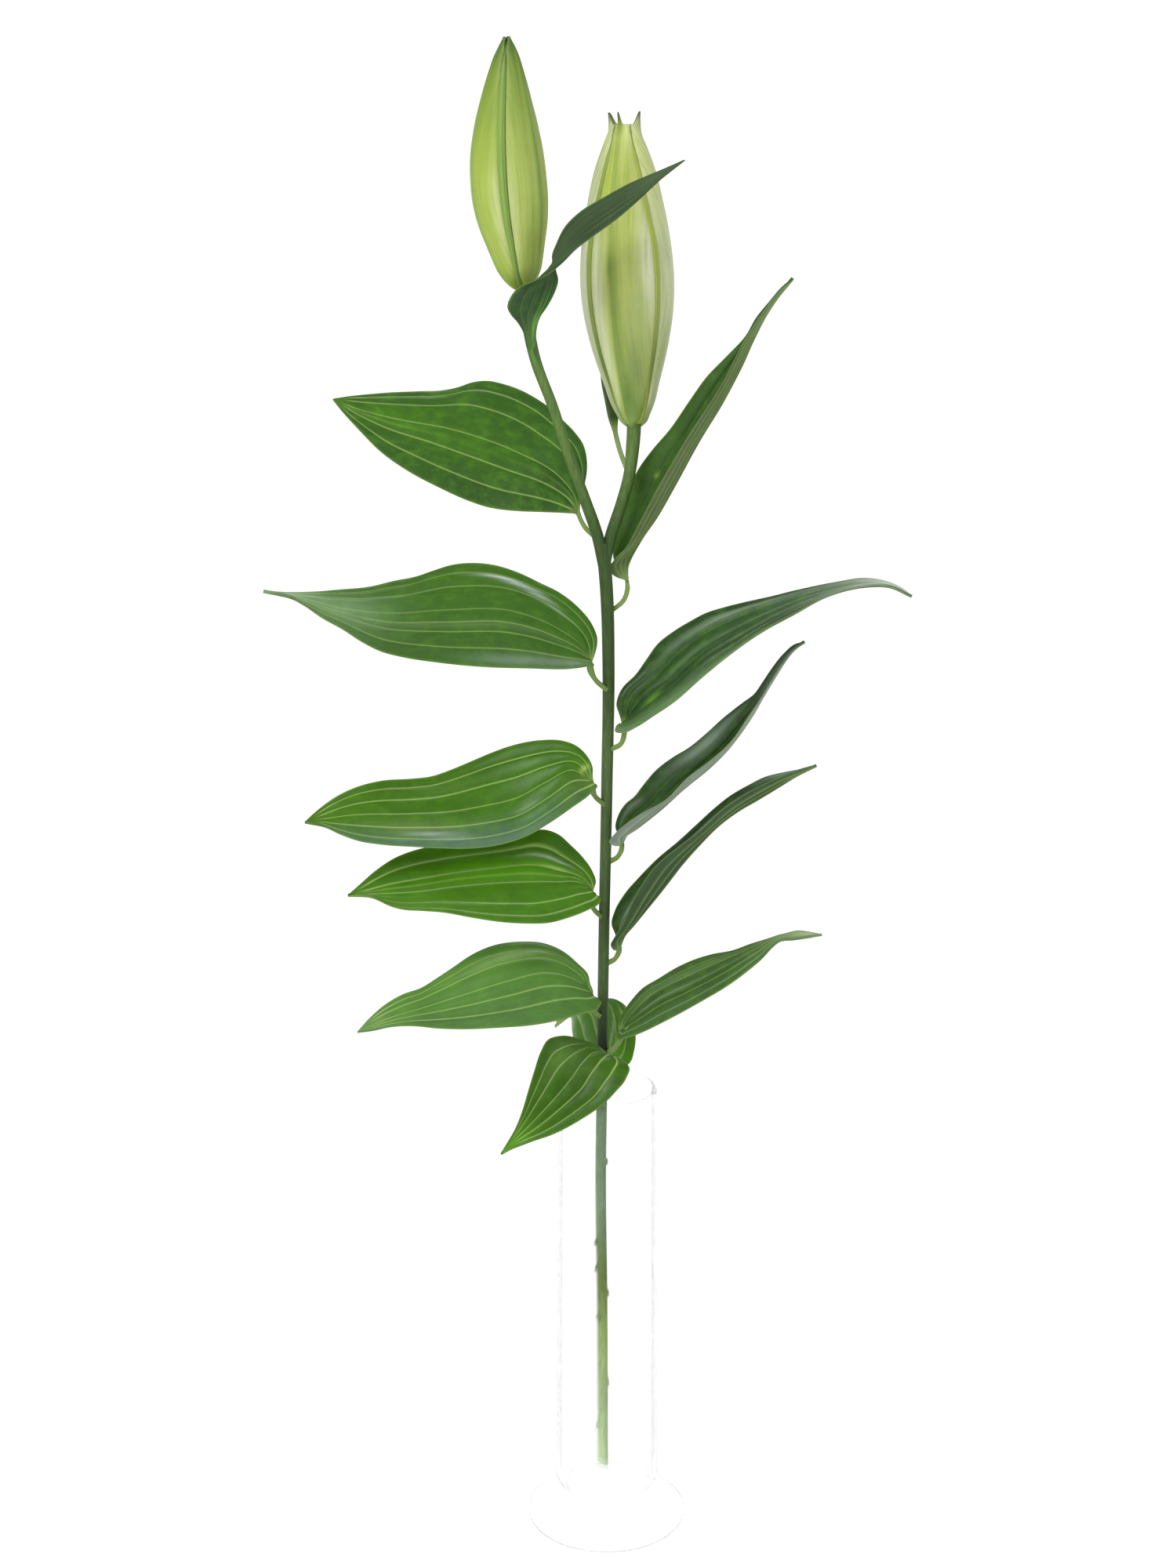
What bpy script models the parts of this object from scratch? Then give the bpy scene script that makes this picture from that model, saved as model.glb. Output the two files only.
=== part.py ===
"""Cut lily stem in a footed clear glass vase.

One stalk forks into two stalks for the flower buds. Both buds are still closed, each wrapped in
three outer and three inner tepals. Twelve leaves and two bracts grow from the stalk. The stem only
stands in the vase: its cut end rests on the floor and it leans on the front of the rim.
Model frame: metres, +Z up, origin at the centre of the vase's flat underside, viewer towards -Y.
Places and sizes below are in millimetres, and MM turns them into metres.
"""
import math

import bmesh
import bpy
import numpy as np
from mathutils import Vector

MM = 0.001
GAP = 0.3
SHARP_ANGLE = 40.0
WELD = 0.000001

# Vase
VASE_HEIGHT = 250.0
FOOT_RADIUS = 42.8
FOOT_EDGE = 3.2
NECK_RADIUS = 29.0
NECK_HEIGHT = 9.0
WALL_RADIUS_LOW = 27.8
WALL_RADIUS_RIM = 26.0
WALL_THICKNESS = 2.8
FLOOR_HEIGHT = 18.0
FLOOR_FILLET = 4.0
FILLET_STEPS = 3
RIM_ROUND = 1.2
QUARTER_TURN_REST = 0.29
NECK_BLEND = 6.0
FOOT_CURVE = (3.5, 3.2)
FOOT_LIP = (2.0, 0.6)
FOOT_BEVEL = 0.9
VASE_SIDES = 40

# Stem: lines through hand-placed points, and the radius at places along each line
STALK_LINE = [
    (-1.8, 17.0, 15.0), (-2.5, 2.0, 130.0), (-3.4, -10.0, 204.0), (-3.0, -19.0, 252.0),
    (-2.2, -33.0, 342.0), (-0.9, -45.0, 427.0), (-0.3, -52.0, 488.0), (-1.2, -56.0, 523.0),
    (-3.2, -59.0, 549.0),
]
STALK_RADII = [2.6, 2.6, 2.6, 2.7, 2.75, 2.85, 3.3]
LEFT_PEDICEL_LINE = [
    (-2.4, -57.5, 540.0), (-4.4, -60.0, 554.0), (-11.3, -63.0, 572.0), (-18.6, -66.0, 590.0),
    (-26.2, -69.0, 613.5), (-34.8, -71.0, 636.4), (-40.8, -72.4, 656.0), (-43.5, -73.0, 667.0),
]
LEFT_PEDICEL_RADII = [2.4, 2.9, 2.6, 2.5, 2.4, 2.6, 3.1]
RIGHT_PEDICEL_LINE = [
    (-2.4, -57.5, 540.0), (-0.8, -58.6, 553.0), (5.9, -55.5, 572.0), (9.2, -52.5, 588.0),
    (11.4, -50.4, 601.5),
]
RIGHT_PEDICEL_RADII = [2.4, 2.9, 2.7, 2.7, 3.1]
STEM_SIDES_RESOLUTION = 3
CUT_HEIGHT = 18.9
CUT_SLOPE = 22.0
# Scars of stripped leaves: height on the stalk and compass angle (0 towards +X, -90 to the viewer)
LEAF_SCARS = [(213, 20), (163, 205), (146, 170), (131, -20), (116, 235), (73, 10), (45, 190)]
SCAR_RADIUS = 1.5
SCAR_SINK = 0.7
CUT_ABOVE_FLOOR = 1.0

# Buds: base and tip of the axis, widest radius, compass turn of the front outer tepal, and shape
BUDS = {
    "left_bud": {
        "base": (-43.8, -73.0, 667.4), "tip": (-45.6, -79.0, 775.2), "radius": 17.0,
        "turn": -55.0, "peak": 0.84, "fullness": (0.56, 0.80), "reach": (0.016, 0.974),
        "slit": 3.2, "lobing": 0.015, "hook": 0.5, "tip_rise": 0.01,
    },
    "right_bud": {
        "base": (12.0, -50.2, 602.5), "tip": (5.6, -46.0, 737.5), "radius": 20.9,
        "turn": -8.0, "peak": 0.93, "fullness": (0.66, 0.62), "reach": (0.012, 0.948),
        "slit": 3.6, "lobing": 0.03, "hook": 2.4, "tip_rise": 0.045,
    },
}
OUTER_TEPAL = 1.0
INNER_TEPAL = 0.9
KEEL_PROUD = 0.3
FACET_EASE = 0.2
TEPAL_ROWS = 14
TEPAL_COLUMNS = 6
ROW_CROWDING = 0.09
TIP_FROM = 0.9
TIP_NARROWING = 0.55
HOOK_FROM = 0.93
CLOSING_FROM = 0.84
INNER_TIP_RADIUS = 1.9

# Leaves: where each springs from the stem, the line of its midrib, the blade's width and how it
# is turned about the midrib (degrees at base, middle and tip; pairs of place and angle on a bract)
LEAF_THICKNESS = 0.8
PETIOLE_WIDTH = 2.8
ROOT_GAP = 0.55
ELBOW_OUT = 2.2
ELBOW_RISE = 0.5
TIP_WIDTH = 1.0
LEAVES = {
    "leaf_left_1": {
        "root": (551, 165), "midrib": [(-13.5, -56.5, 557), (-15.6, -56, 566), (-34, -50, 582),
                                       (-56, -50, 591), (-104, -58, 605), (-128, -65, 617)],
        "width": 58, "roll": (-66, -64, -62), "fold": (45, 14, 4, 5), "taper": (1.1, 0.95),
        "round": 0.62, "far": 1.05,
    },
    "leaf_left_2": {
        "root": (478, 225), "midrib": [(-7.5, -58, 484), (-9.5, -61, 492), (-28, -62, 506),
                                       (-52, -66, 513), (-112, -76, 517), (-160, -86, 531)],
        "width": 53, "roll": (-62, -54, -40), "fold": (45, 14, 4, 5), "taper": (1.5, 1.3),
        "round": 0.6, "far": 1.08,
    },
    "leaf_left_3": {
        "root": (418, 225), "midrib": [(-7.5, -50, 424), (-8.5, -54, 430), (-26, -58, 434),
                                       (-52, -62, 426), (-112, -76, 421), (-144, -84, 419)],
        "width": 50, "roll": (-58, -48, -40), "fold": (45, 14, 2, 2), "taper": (1.9, 0.85),
        "arch": 0.15,
    },
    "leaf_left_4": {
        "root": (357, 225), "midrib": [(-8, -42, 364), (-9, -46, 371), (-24, -50, 379),
                                       (-52, -56, 381), (-100, -65, 380), (-127, -70, 378)],
        "width": 46, "roll": (-55, -46, -40), "fold": (45, 14, 4, 5), "taper": (1.0, 1.0),
        "near": 0.93,
    },
    "leaf_left_5": {
        "root": (301, 225), "midrib": [(-8, -36, 308), (-9, -40, 314), (-24, -44, 322),
                                       (-52, -52, 323), (-96, -63, 314), (-124, -70, 307)],
        "width": 45, "roll": (-52, -46, -40), "fold": (45, 14, 4, 5), "taper": (1.35, 1.25),
    },
    "leaf_right_1": {
        "root": (516, 30), "midrib": [(7.5, -53, 521), (8.5, -51, 531), (18, -50, 551),
                                      (36, -50, 584), (62, -50, 631), (84, -50, 670.6)],
        "width": 39, "roll": (10, 24, 34), "fold": (60, 52, 46, 40), "taper": (1.4, 1.3),
    },
    "leaf_right_2": {
        "root": (447, -30), "midrib": [(6.5, -53, 451), (7.5, -55, 458), (15, -57, 472),
                                       (45, -62, 499), (86, -66, 521), (125, -72, 533),
                                       (140.5, -75, 526.5)],
        "width": 38, "roll": (40, 42, 40), "fold": (50, 20, 4, 10), "taper": (1.5, 1.6),
        "round": 0.6, "near": 0.75,
    },
    "leaf_right_3": {
        "root": (387, -10), "midrib": [(5.5, -44, 392), (6.5, -46, 399), (15.5, -47, 408),
                                       (43, -48, 433), (70, -48, 464), (94, -46, 498.7)],
        "width": 40, "roll": (10, 17, 20), "fold": (60, 50, 46, 42), "taper": (1.6, 1.25),
        "far": 0.85,
    },
    "leaf_right_4": {
        "root": (331, -10), "midrib": [(4.5, -38, 337), (5.5, -40, 343), (18, -43, 361.5),
                                       (41, -45, 393), (68, -47, 417), (101, -50, 438)],
        "width": 33, "roll": (5, 12, 15), "fold": (60, 50, 46, 40), "taper": (1.2, 1.2),
    },
    "leaf_right_5": {
        "root": (280, -20), "midrib": [(5, -30, 287), (7, -32, 293), (17.5, -36, 305),
                                       (48, -44, 328.6), (80, -49, 347), (105, -52, 353)],
        "width": 33, "roll": (36, 34, 20), "fold": (50, 25, 12, 20), "taper": (1.25, 1.15),
        "far": 0.75,
    },
    "leaf_front": {
        "root": (267, -80), "midrib": [(-1, -31, 273), (0, -35, 281), (-1, -46, 294),
                                       (-11, -62, 297), (-26, -84, 283), (-40, -98, 270),
                                       (-52, -106, 258)],
        "width": 46, "roll": (-18, -18, -10), "fold": (45, 20, 6, 10), "taper": (1.0, 0.9),
        "far": 0.55,
    },
    "leaf_back": {
        "root": (261, 80), "midrib": [(-1.5, -14, 266), (0.4, -11, 271), (0.3, 10, 281),
                                      (-1, 30, 283), (-10, 55, 277), (-29, 100, 246)],
        "width": 33, "roll": (0, 0, 0), "fold": (45, 20, 10, 10), "taper": (1.3, 1.3),
    },
    "bract_left": {
        "root": (634, -110), "stem": "left", "midrib": [
            (-38.2, -77.2, 646), (-38.2, -79.6, 653), (-35.6, -83, 663), (-31, -88, 673.8),
            (-23.2, -92, 685.6), (-11.8, -95, 696), (5.3, -97, 706.1), (31.8, -99, 724.1)],
        "width": 23, "roll": (85, 255, 275), "fold": (10, 36, 20, 10), "taper": (1.7, 1.7),
        "round": 0.3, "turning": (0.08, 0.46), "rows": 18,
    },
    "bract_right": {
        "root": (584, 120), "stem": "right", "midrib": [
            (4.4, -46, 592), (2.6, -43, 599), (-2.2, -33, 619), (-1.5, -24, 645), (4, -19, 668)],
        "width": 16, "roll": (60, 70, 80), "fold": (10, 20, 10, 10), "taper": (1.1, 1.1),
    },
}
LOBE_LENGTH = 4.0
LOBE_SHARE = 0.08
LOBE_FROM_WIDTH = 3.0
LOBE_FULL_WIDTH = 15.0
FOLD_PLACES = (0, 0.1, 0.45, 1)
PETIOLE_ROWS = 4
BLADE_ROWS = 11
BLADE_COLUMNS = 6


def clear_scene():
    for old in list(bpy.data.objects):
        bpy.data.objects.remove(old, do_unlink=True)


def make_material(name, colour, roughness, alpha=1.0):
    material = bpy.data.materials.new(name)
    material.use_nodes = True
    shader = material.node_tree.nodes["Principled BSDF"]
    shader.inputs["Base Color"].default_value = (*colour, 1.0)
    shader.inputs["Roughness"].default_value = roughness
    shader.inputs["Metallic"].default_value = 0.0
    shader.inputs["Transmission Weight"].default_value = 1.0 - alpha
    return material


def new_object(name, mesh, collection, material=None):
    made = bpy.data.objects.new(name, mesh)
    collection.objects.link(made)
    if material:
        made.data.materials.append(material)
    return made


def smooth_line(points, places):
    """Catmull-Rom line through the points, read at shares 0 to 1 of its length."""
    points = np.array(points, float)
    points = np.vstack([2 * points[0] - points[1], points, 2 * points[-1] - points[-2]])
    dense = []
    for i in range(1, len(points) - 2):
        a, b, c, d = points[i - 1:i + 3]
        for t in np.linspace(0, 1, 24, endpoint=False):
            dense.append(b + 0.5 * t * (c - a + t * (2 * a - 5 * b + 4 * c - d
                                                     + t * (3 * b - a - 3 * c + d))))
    dense.append(points[-2])
    dense = np.array(dense)
    run = np.r_[0, np.cumsum(np.linalg.norm(np.diff(dense, axis=0), axis=1))]
    along = np.asarray(places) * run[-1]
    return np.stack([np.interp(along, run, dense[:, k]) for k in range(3)], 1), run[-1]


def radius_along(radii, shares):
    return np.interp(shares, np.linspace(0, 1, len(radii)), radii)


STEM_LINES = {
    "stalk": (STALK_LINE, STALK_RADII),
    "left": (LEFT_PEDICEL_LINE, LEFT_PEDICEL_RADII),
    "right": (RIGHT_PEDICEL_LINE, RIGHT_PEDICEL_RADII),
}


def stem_at(height, which="stalk"):
    """Centre of the named stem line at a height, and its radius there."""
    line, radii = STEM_LINES[which]
    shares = np.linspace(0, 1, 300)
    centres, _ = smooth_line(line, shares)
    share = np.interp(height, centres[:, 2], shares)
    centre = np.array([np.interp(share, shares, centres[:, k]) for k in range(3)])
    return centre, float(radius_along(radii, share))


def on_stem(height, compass, which="stalk", out=0.0):
    """Point on the skin of a stem line, out millimetres off it."""
    centre, radius = stem_at(height, which)
    angle = math.radians(compass)
    return centre + (radius + out) * np.array([math.cos(angle), math.sin(angle), 0.0])


def build_vase(collection, material):
    """Turned glass: floor, inner wall, rounded rim, outer wall, neck and spreading foot."""
    inner_rim = WALL_RADIUS_RIM - WALL_THICKNESS
    inner_low = WALL_RADIUS_LOW - WALL_THICKNESS
    profile = [(0.0, FLOOR_HEIGHT)]
    for step in range(FILLET_STEPS + 1):
        turn = math.radians(90 * step / FILLET_STEPS)
        profile.append((inner_low - FLOOR_FILLET * (1 - math.sin(turn)),
                        FLOOR_HEIGHT + FLOOR_FILLET * (1 - math.cos(turn))))
    middle = WALL_RADIUS_RIM - WALL_THICKNESS / 2
    profile.append((inner_rim, VASE_HEIGHT - RIM_ROUND))
    shoulder = RIM_ROUND * QUARTER_TURN_REST
    profile.append((inner_rim + shoulder, VASE_HEIGHT - shoulder))
    profile.append((middle, VASE_HEIGHT))
    profile.append((WALL_RADIUS_RIM - shoulder, VASE_HEIGHT - shoulder))
    profile.append((WALL_RADIUS_RIM, VASE_HEIGHT - RIM_ROUND))
    profile.append((WALL_RADIUS_LOW, NECK_HEIGHT + NECK_BLEND))
    profile.append((NECK_RADIUS, NECK_HEIGHT))
    profile.append((NECK_RADIUS + FOOT_CURVE[0], NECK_HEIGHT - FOOT_CURVE[1]))
    profile.append((FOOT_RADIUS - FOOT_LIP[0], FOOT_EDGE + FOOT_LIP[1]))
    profile.append((FOOT_RADIUS, FOOT_EDGE - FOOT_BEVEL))
    profile.append((FOOT_RADIUS, FOOT_BEVEL))
    profile.append((FOOT_RADIUS - FOOT_BEVEL, 0.0))
    profile.append((0.0, 0.0))
    mesh = bpy.data.meshes.new("glass_vase")
    edges = [(i, i + 1) for i in range(len(profile) - 1)]
    mesh.from_pydata([(r * MM, 0.0, z * MM) for r, z in profile], edges, [])
    vase = new_object("glass_vase", mesh, collection, material)
    screw = vase.modifiers.new("turn", "SCREW")
    screw.steps = VASE_SIDES
    screw.render_steps = VASE_SIDES
    screw.use_merge_vertices = True
    screw.merge_threshold = 0.00005
    screw.use_smooth_shade = True
    return vase


def tube(name, line, radii, count, collection):
    """Round stalk as a bevelled curve through a smooth line, made a closed mesh."""
    shares = np.linspace(0, 1, count)
    centres, _ = smooth_line(line, shares)
    curve = bpy.data.curves.new(name, "CURVE")
    curve.dimensions = "3D"
    curve.bevel_depth = MM
    curve.bevel_resolution = STEM_SIDES_RESOLUTION
    curve.use_fill_caps = True
    spline = curve.splines.new("POLY")
    spline.points.add(count - 1)
    for point, centre, radius in zip(spline.points, centres, radius_along(radii, shares)):
        point.co = (*(centre * MM), 1.0)
        point.radius = radius
    drawn = new_object(name + "_curve", curve, collection)
    depsgraph = bpy.context.evaluated_depsgraph_get()
    mesh = bpy.data.meshes.new_from_object(drawn.evaluated_get(depsgraph))
    matrix = drawn.matrix_world.copy()
    bpy.data.objects.remove(drawn, do_unlink=True)
    solid = bmesh.new()
    solid.from_mesh(mesh)
    bmesh.ops.remove_doubles(solid, verts=solid.verts, dist=WELD)
    solid.to_mesh(mesh)
    solid.free()
    made = new_object(name, mesh, collection)
    made.matrix_world = matrix
    return made


def cut_end(stalk):
    """Trim the stalk's foot with one slanting cut."""
    centre, _ = stem_at(CUT_HEIGHT)
    slope = math.radians(CUT_SLOPE)
    normal = Vector((math.sin(slope), 0.0, math.cos(slope)))
    solid = bmesh.new()
    solid.from_mesh(stalk.data)
    geometry = solid.verts[:] + solid.edges[:] + solid.faces[:]
    plane_point = Vector((centre[0], centre[1], CUT_HEIGHT + CUT_ABOVE_FLOOR)) * MM
    bmesh.ops.bisect_plane(solid, geom=geometry, dist=WELD, plane_co=plane_point,
                           plane_no=normal, clear_inner=True)
    rim = [edge for edge in solid.edges if edge.is_boundary]
    bmesh.ops.holes_fill(solid, edges=rim)
    bmesh.ops.recalc_face_normals(solid, faces=solid.faces)
    solid.to_mesh(stalk.data)
    solid.free()


def scar(index, height, compass, collection):
    """Low knob where a leaf was stripped."""
    made = bmesh.new()
    bmesh.ops.create_uvsphere(made, u_segments=8, v_segments=5, radius=SCAR_RADIUS * MM)
    mesh = bpy.data.meshes.new(f"scar_{index}")
    made.to_mesh(mesh)
    made.free()
    knob = new_object(mesh.name, mesh, collection)
    knob.location = Vector(on_stem(height, compass, out=-SCAR_SINK)) * MM
    return knob


def build_stem(collection, helpers, material):
    """Stalk, its fork into two pedicels and the leaf scars, joined into one body."""
    stalk = tube("stem", STALK_LINE, STALK_RADII, 34, collection)
    cut_end(stalk)
    stalk.data.materials.append(material)
    joined = bpy.data.collections.new("joined_to_the_stem")
    helpers.children.link(joined)
    added = [
        tube("left_pedicel", LEFT_PEDICEL_LINE, LEFT_PEDICEL_RADII, 16, joined),
        tube("right_pedicel", RIGHT_PEDICEL_LINE, RIGHT_PEDICEL_RADII, 10, joined),
    ]
    for index, (height, compass) in enumerate(LEAF_SCARS, 1):
        added.append(scar(index, height, compass, joined))
    union = stalk.modifiers.new("join", "BOOLEAN")
    union.operation = "UNION"
    union.solver = "EXACT"
    union.operand_type = "COLLECTION"
    union.collection = joined
    bpy.context.view_layer.update()
    depsgraph = bpy.context.evaluated_depsgraph_get()
    mesh = bpy.data.meshes.new_from_object(stalk.evaluated_get(depsgraph))
    stalk.modifiers.clear()
    stalk.data = mesh
    mesh.name = "stem"
    mesh.shade_smooth()
    mesh.set_sharp_from_angle(angle=math.radians(SHARP_ANGLE))
    for knob in added:
        bpy.data.objects.remove(knob, do_unlink=True)
    bpy.data.collections.remove(joined)
    return stalk


def sheet(name, points, thickness, offset, collection, material):
    """Grid of rows and columns moved to the points and thickened into a closed blade."""
    rows, columns = points.shape[0] - 1, points.shape[1] - 1
    grid = bmesh.new()
    bmesh.ops.create_grid(grid, x_segments=columns, y_segments=rows, size=1.0)
    for vert in grid.verts:
        column = round((vert.co.x + 1) / 2 * columns)
        row = round((vert.co.y + 1) / 2 * rows)
        vert.co = Vector(points[row, column]) * MM
    bmesh.ops.triangulate(grid, faces=grid.faces, quad_method="FIXED")
    mesh = bpy.data.meshes.new(name)
    grid.to_mesh(mesh)
    grid.free()
    mesh.shade_smooth()
    made = new_object(name, mesh, collection, material)
    solidify = made.modifiers.new("thickness", "SOLIDIFY")
    solidify.thickness = thickness * MM
    solidify.offset = offset
    solidify.use_quality_normals = True
    return made


def unit(vectors):
    return vectors / np.linalg.norm(vectors, axis=-1, keepdims=True)


def half_width(share, leaf, taper):
    """Half of the blade's width: round at the base, widest about a third up, drawn out to a point."""
    base_round = leaf.get("round", 0.5)
    widest = base_round / (taper + base_round)
    peak = widest ** base_round * (1 - widest) ** taper
    return leaf["width"] / 2 * share ** base_round * (1 - share) ** taper / peak


def leaf_points(leaf):
    """Points of a leaf's middle surface, rows from the stem to the tip and columns across."""
    stem, off = leaf.get("stem", "stalk"), ROOT_GAP
    root = on_stem(*leaf["root"], stem, off)
    elbow = on_stem(leaf["root"][0] + ELBOW_RISE, leaf["root"][1], stem, off + ELBOW_OUT)
    spine = [tuple(root), tuple(elbow)] + leaf["midrib"]
    fine = np.linspace(0, 1, 400)
    line, total = smooth_line(spine, fine)
    base = np.argmin(np.linalg.norm(line - np.array(leaf["midrib"][1]), axis=1)) * total / 399
    even = np.linspace(0, 1, leaf.get("rows", BLADE_ROWS) + 1)
    blade_shares = 0.5 * (even + even ** 1.6)
    along = np.r_[np.linspace(0, base, PETIOLE_ROWS, endpoint=False),
                  base + blade_shares * (total - base)]
    share = np.r_[np.zeros(PETIOLE_ROWS), blade_shares]
    centre, _ = smooth_line(spine, along / total)
    ahead, _ = smooth_line(spine, np.minimum(along / total + 0.004, 1))
    behind, _ = smooth_line(spine, np.maximum(along / total - 0.004, 0))
    tangent = unit(ahead - behind)
    heading = np.array(spine[-1]) - np.array(spine[0])
    level = unit(np.array([-heading[1], heading[0], 0.0]))
    side = unit(level - (tangent @ level)[:, None] * tangent)
    lift = np.cross(tangent, side)
    start, middle = leaf.get("turning", (0.12, 0.5))
    roll = np.radians(np.interp(share, [start, middle, 1], leaf["roll"]))[:, None]
    roll[:PETIOLE_ROWS, 0] *= np.linspace(0, 1, PETIOLE_ROWS, endpoint=False)
    across = np.cos(roll) * side + np.sin(roll) * lift
    face = np.cos(roll) * lift - np.sin(roll) * side
    petiole = np.where(share < 0.5, PETIOLE_WIDTH, TIP_WIDTH) / 2
    far, near = [np.maximum(half_width(share, leaf, taper) * leaf.get(half, 1.0), petiole)[:, None]
                 for half, taper in zip(("far", "near"), leaf["taper"])]
    place = np.linspace(-1, 1, BLADE_COLUMNS + 1)[None, :]
    width = np.where(place * level[1] > 0, far, near)
    fold = np.radians(np.interp(share, FOLD_PLACES, leaf["fold"]))[:, None]
    fold[:PETIOLE_ROWS, 0] *= np.linspace(0, 1, PETIOLE_ROWS, endpoint=False)
    lobe = LOBE_LENGTH * np.exp(-share / LOBE_SHARE)[:, None]
    lobe = lobe * np.clip((width - LOBE_FROM_WIDTH) / (LOBE_FULL_WIDTH - LOBE_FROM_WIDTH), 0, 1)
    out = width * place * np.cos(fold)
    rise = width * np.abs(place) * np.sin(fold) - leaf.get("arch", 0.1) * width * place ** 2
    points = centre[:, None, :] + out[..., None] * across[:, None, :]
    points = points + rise[..., None] * face[:, None, :]
    return points - (lobe * place ** 2)[..., None] * tangent[:, None, :]


def bud_radius(bud, share):
    """Radius of the bud at a share of its length: a spindle, fuller in the lower half."""
    share = np.clip(share, 0, 1)
    low, span = bud["reach"]
    swell = np.sin(math.pi * (low + span * share) ** bud["peak"])
    at_base, at_tip = bud["fullness"]
    return bud["radius"] * swell ** (at_base + (at_tip - at_base) * share)


def bud_rows():
    """Shares of a bud's length for the rows of a tepal, closer together at both ends."""
    even = np.linspace(0, 1, TEPAL_ROWS + 1)
    return (even - ROW_CROWDING * np.sin(2 * math.pi * even))[:, None]


def bud_slit(bud, share):
    """Width of the gap between two outer tepals, which the keel of an inner one fills."""
    return bud["slit"] * (0.4 + 0.6 * np.sin(math.pi * np.clip(share, 0, 1)))


def bud_place(bud, share, angle, radius):
    """Points of a bud from shares of its length, angles about its axis and radii."""
    base, tip = np.array(bud["base"]), np.array(bud["tip"])
    axis = unit(tip - base)
    front = unit(np.array([0.0, -1.0, 0.0]) + axis * axis[1])
    right = np.cross(axis, front)
    lobed = 1 + bud["lobing"] * (np.cos(3 * (angle - math.radians(bud["turn"]))) - 1) / 2
    ray = np.cos(angle)[..., None] * front + np.sin(angle)[..., None] * right
    return base + share[..., None] * (tip - base) + (radius * lobed)[..., None] * ray


def outer_tepal_points(bud, index):
    share = bud_rows()
    across = np.linspace(-1, 1, TEPAL_COLUMNS + 1)[None, :]
    radius = bud_radius(bud, share)
    half = math.pi / 3 - bud_slit(bud, share) / 2 / radius
    narrowing = 1 - TIP_NARROWING * np.clip((share - TIP_FROM) / (1 - TIP_FROM), 0, 1) ** 1.5
    centre = math.radians(bud["turn"] + 120 * index)
    angle = centre + across * half * narrowing
    hooking = np.clip((share - HOOK_FROM) / (1 - HOOK_FROM), 0, 1) ** 2 + 0 * across
    radius = radius + bud["hook"] * hooking
    share = share + bud["tip_rise"] * hooking * (1 - 0.6 * np.abs(across))
    return bud_place(bud, share, angle, radius)


def inner_tepal_points(bud, index):
    share = bud_rows()
    length = np.linalg.norm(np.array(bud["tip"]) - np.array(bud["base"]))
    slope = np.arctan(np.gradient(bud_radius(bud, share)[:, 0], share[:, 0] * length))
    share, slope = share[1:-1], slope[1:-1, None]
    depth = OUTER_TEPAL + GAP + FACET_EASE
    under = bud_radius(bud, share) - depth * np.cos(slope)
    level = share + depth * np.sin(slope) / length
    closing = np.clip((share - CLOSING_FROM) / (1 - CLOSING_FROM), 0, 1)
    radius = under * (1 - closing ** 2) + INNER_TIP_RADIUS * closing ** 2
    keel = bud_slit(bud, share) / 2 - GAP - FACET_EASE
    edge = math.pi / 3 - (GAP / 2 + FACET_EASE) / radius
    steps = [edge, 0.55 * edge, keel / radius, 0.5 * keel / radius]
    angle = np.hstack([-s for s in steps] + [0 * share] + steps[::-1])
    rise = (depth + KEEL_PROUD) * np.sin(math.pi * share) ** 0.5
    rise = rise * (1 - closing)
    bump = np.array([0, 0, 0, 0.85, 1, 0.85, 0, 0, 0])[None, :]
    centre = math.radians(bud["turn"] + 60 + 120 * index)
    return bud_place(bud, level + 0 * bump, centre + angle, radius + rise * bump)


def main():
    clear_scene()
    scene = bpy.context.scene
    parts = bpy.data.collections.new("lily_in_vase")
    helpers = bpy.data.collections.new("cutters")
    scene.collection.children.link(parts)
    scene.collection.children.link(helpers)

    glass = make_material("clear_glass", (0.95, 0.98, 0.98), 0.03, alpha=0.1)
    stem_green = make_material("stem_green", (0.10, 0.19, 0.05), 0.5)
    leaf_green = make_material("leaf_green", (0.05, 0.16, 0.03), 0.4)
    bud_green = make_material("bud_green", (0.42, 0.55, 0.12), 0.5)
    bud_pale = make_material("bud_pale", (0.60, 0.68, 0.32), 0.5)

    build_vase(parts, glass)
    build_stem(parts, helpers, stem_green)
    for name, leaf in LEAVES.items():
        sheet(name, leaf_points(leaf), LEAF_THICKNESS, 0.0, parts, leaf_green)
    for name, bud in BUDS.items():
        colour = bud_green if name == "left_bud" else bud_pale
        for index in range(3):
            number = index + 1
            sheet(f"{name}_outer_tepal_{number}", outer_tepal_points(bud, index),
                  OUTER_TEPAL, -1.0, parts, colour)
            sheet(f"{name}_inner_tepal_{number}", inner_tepal_points(bud, index),
                  INNER_TEPAL, -1.0, parts, colour)


main()
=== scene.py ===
"""Two closed lily buds on a leafy stalk in a slim glass vase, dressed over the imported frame."""
import math

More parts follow.
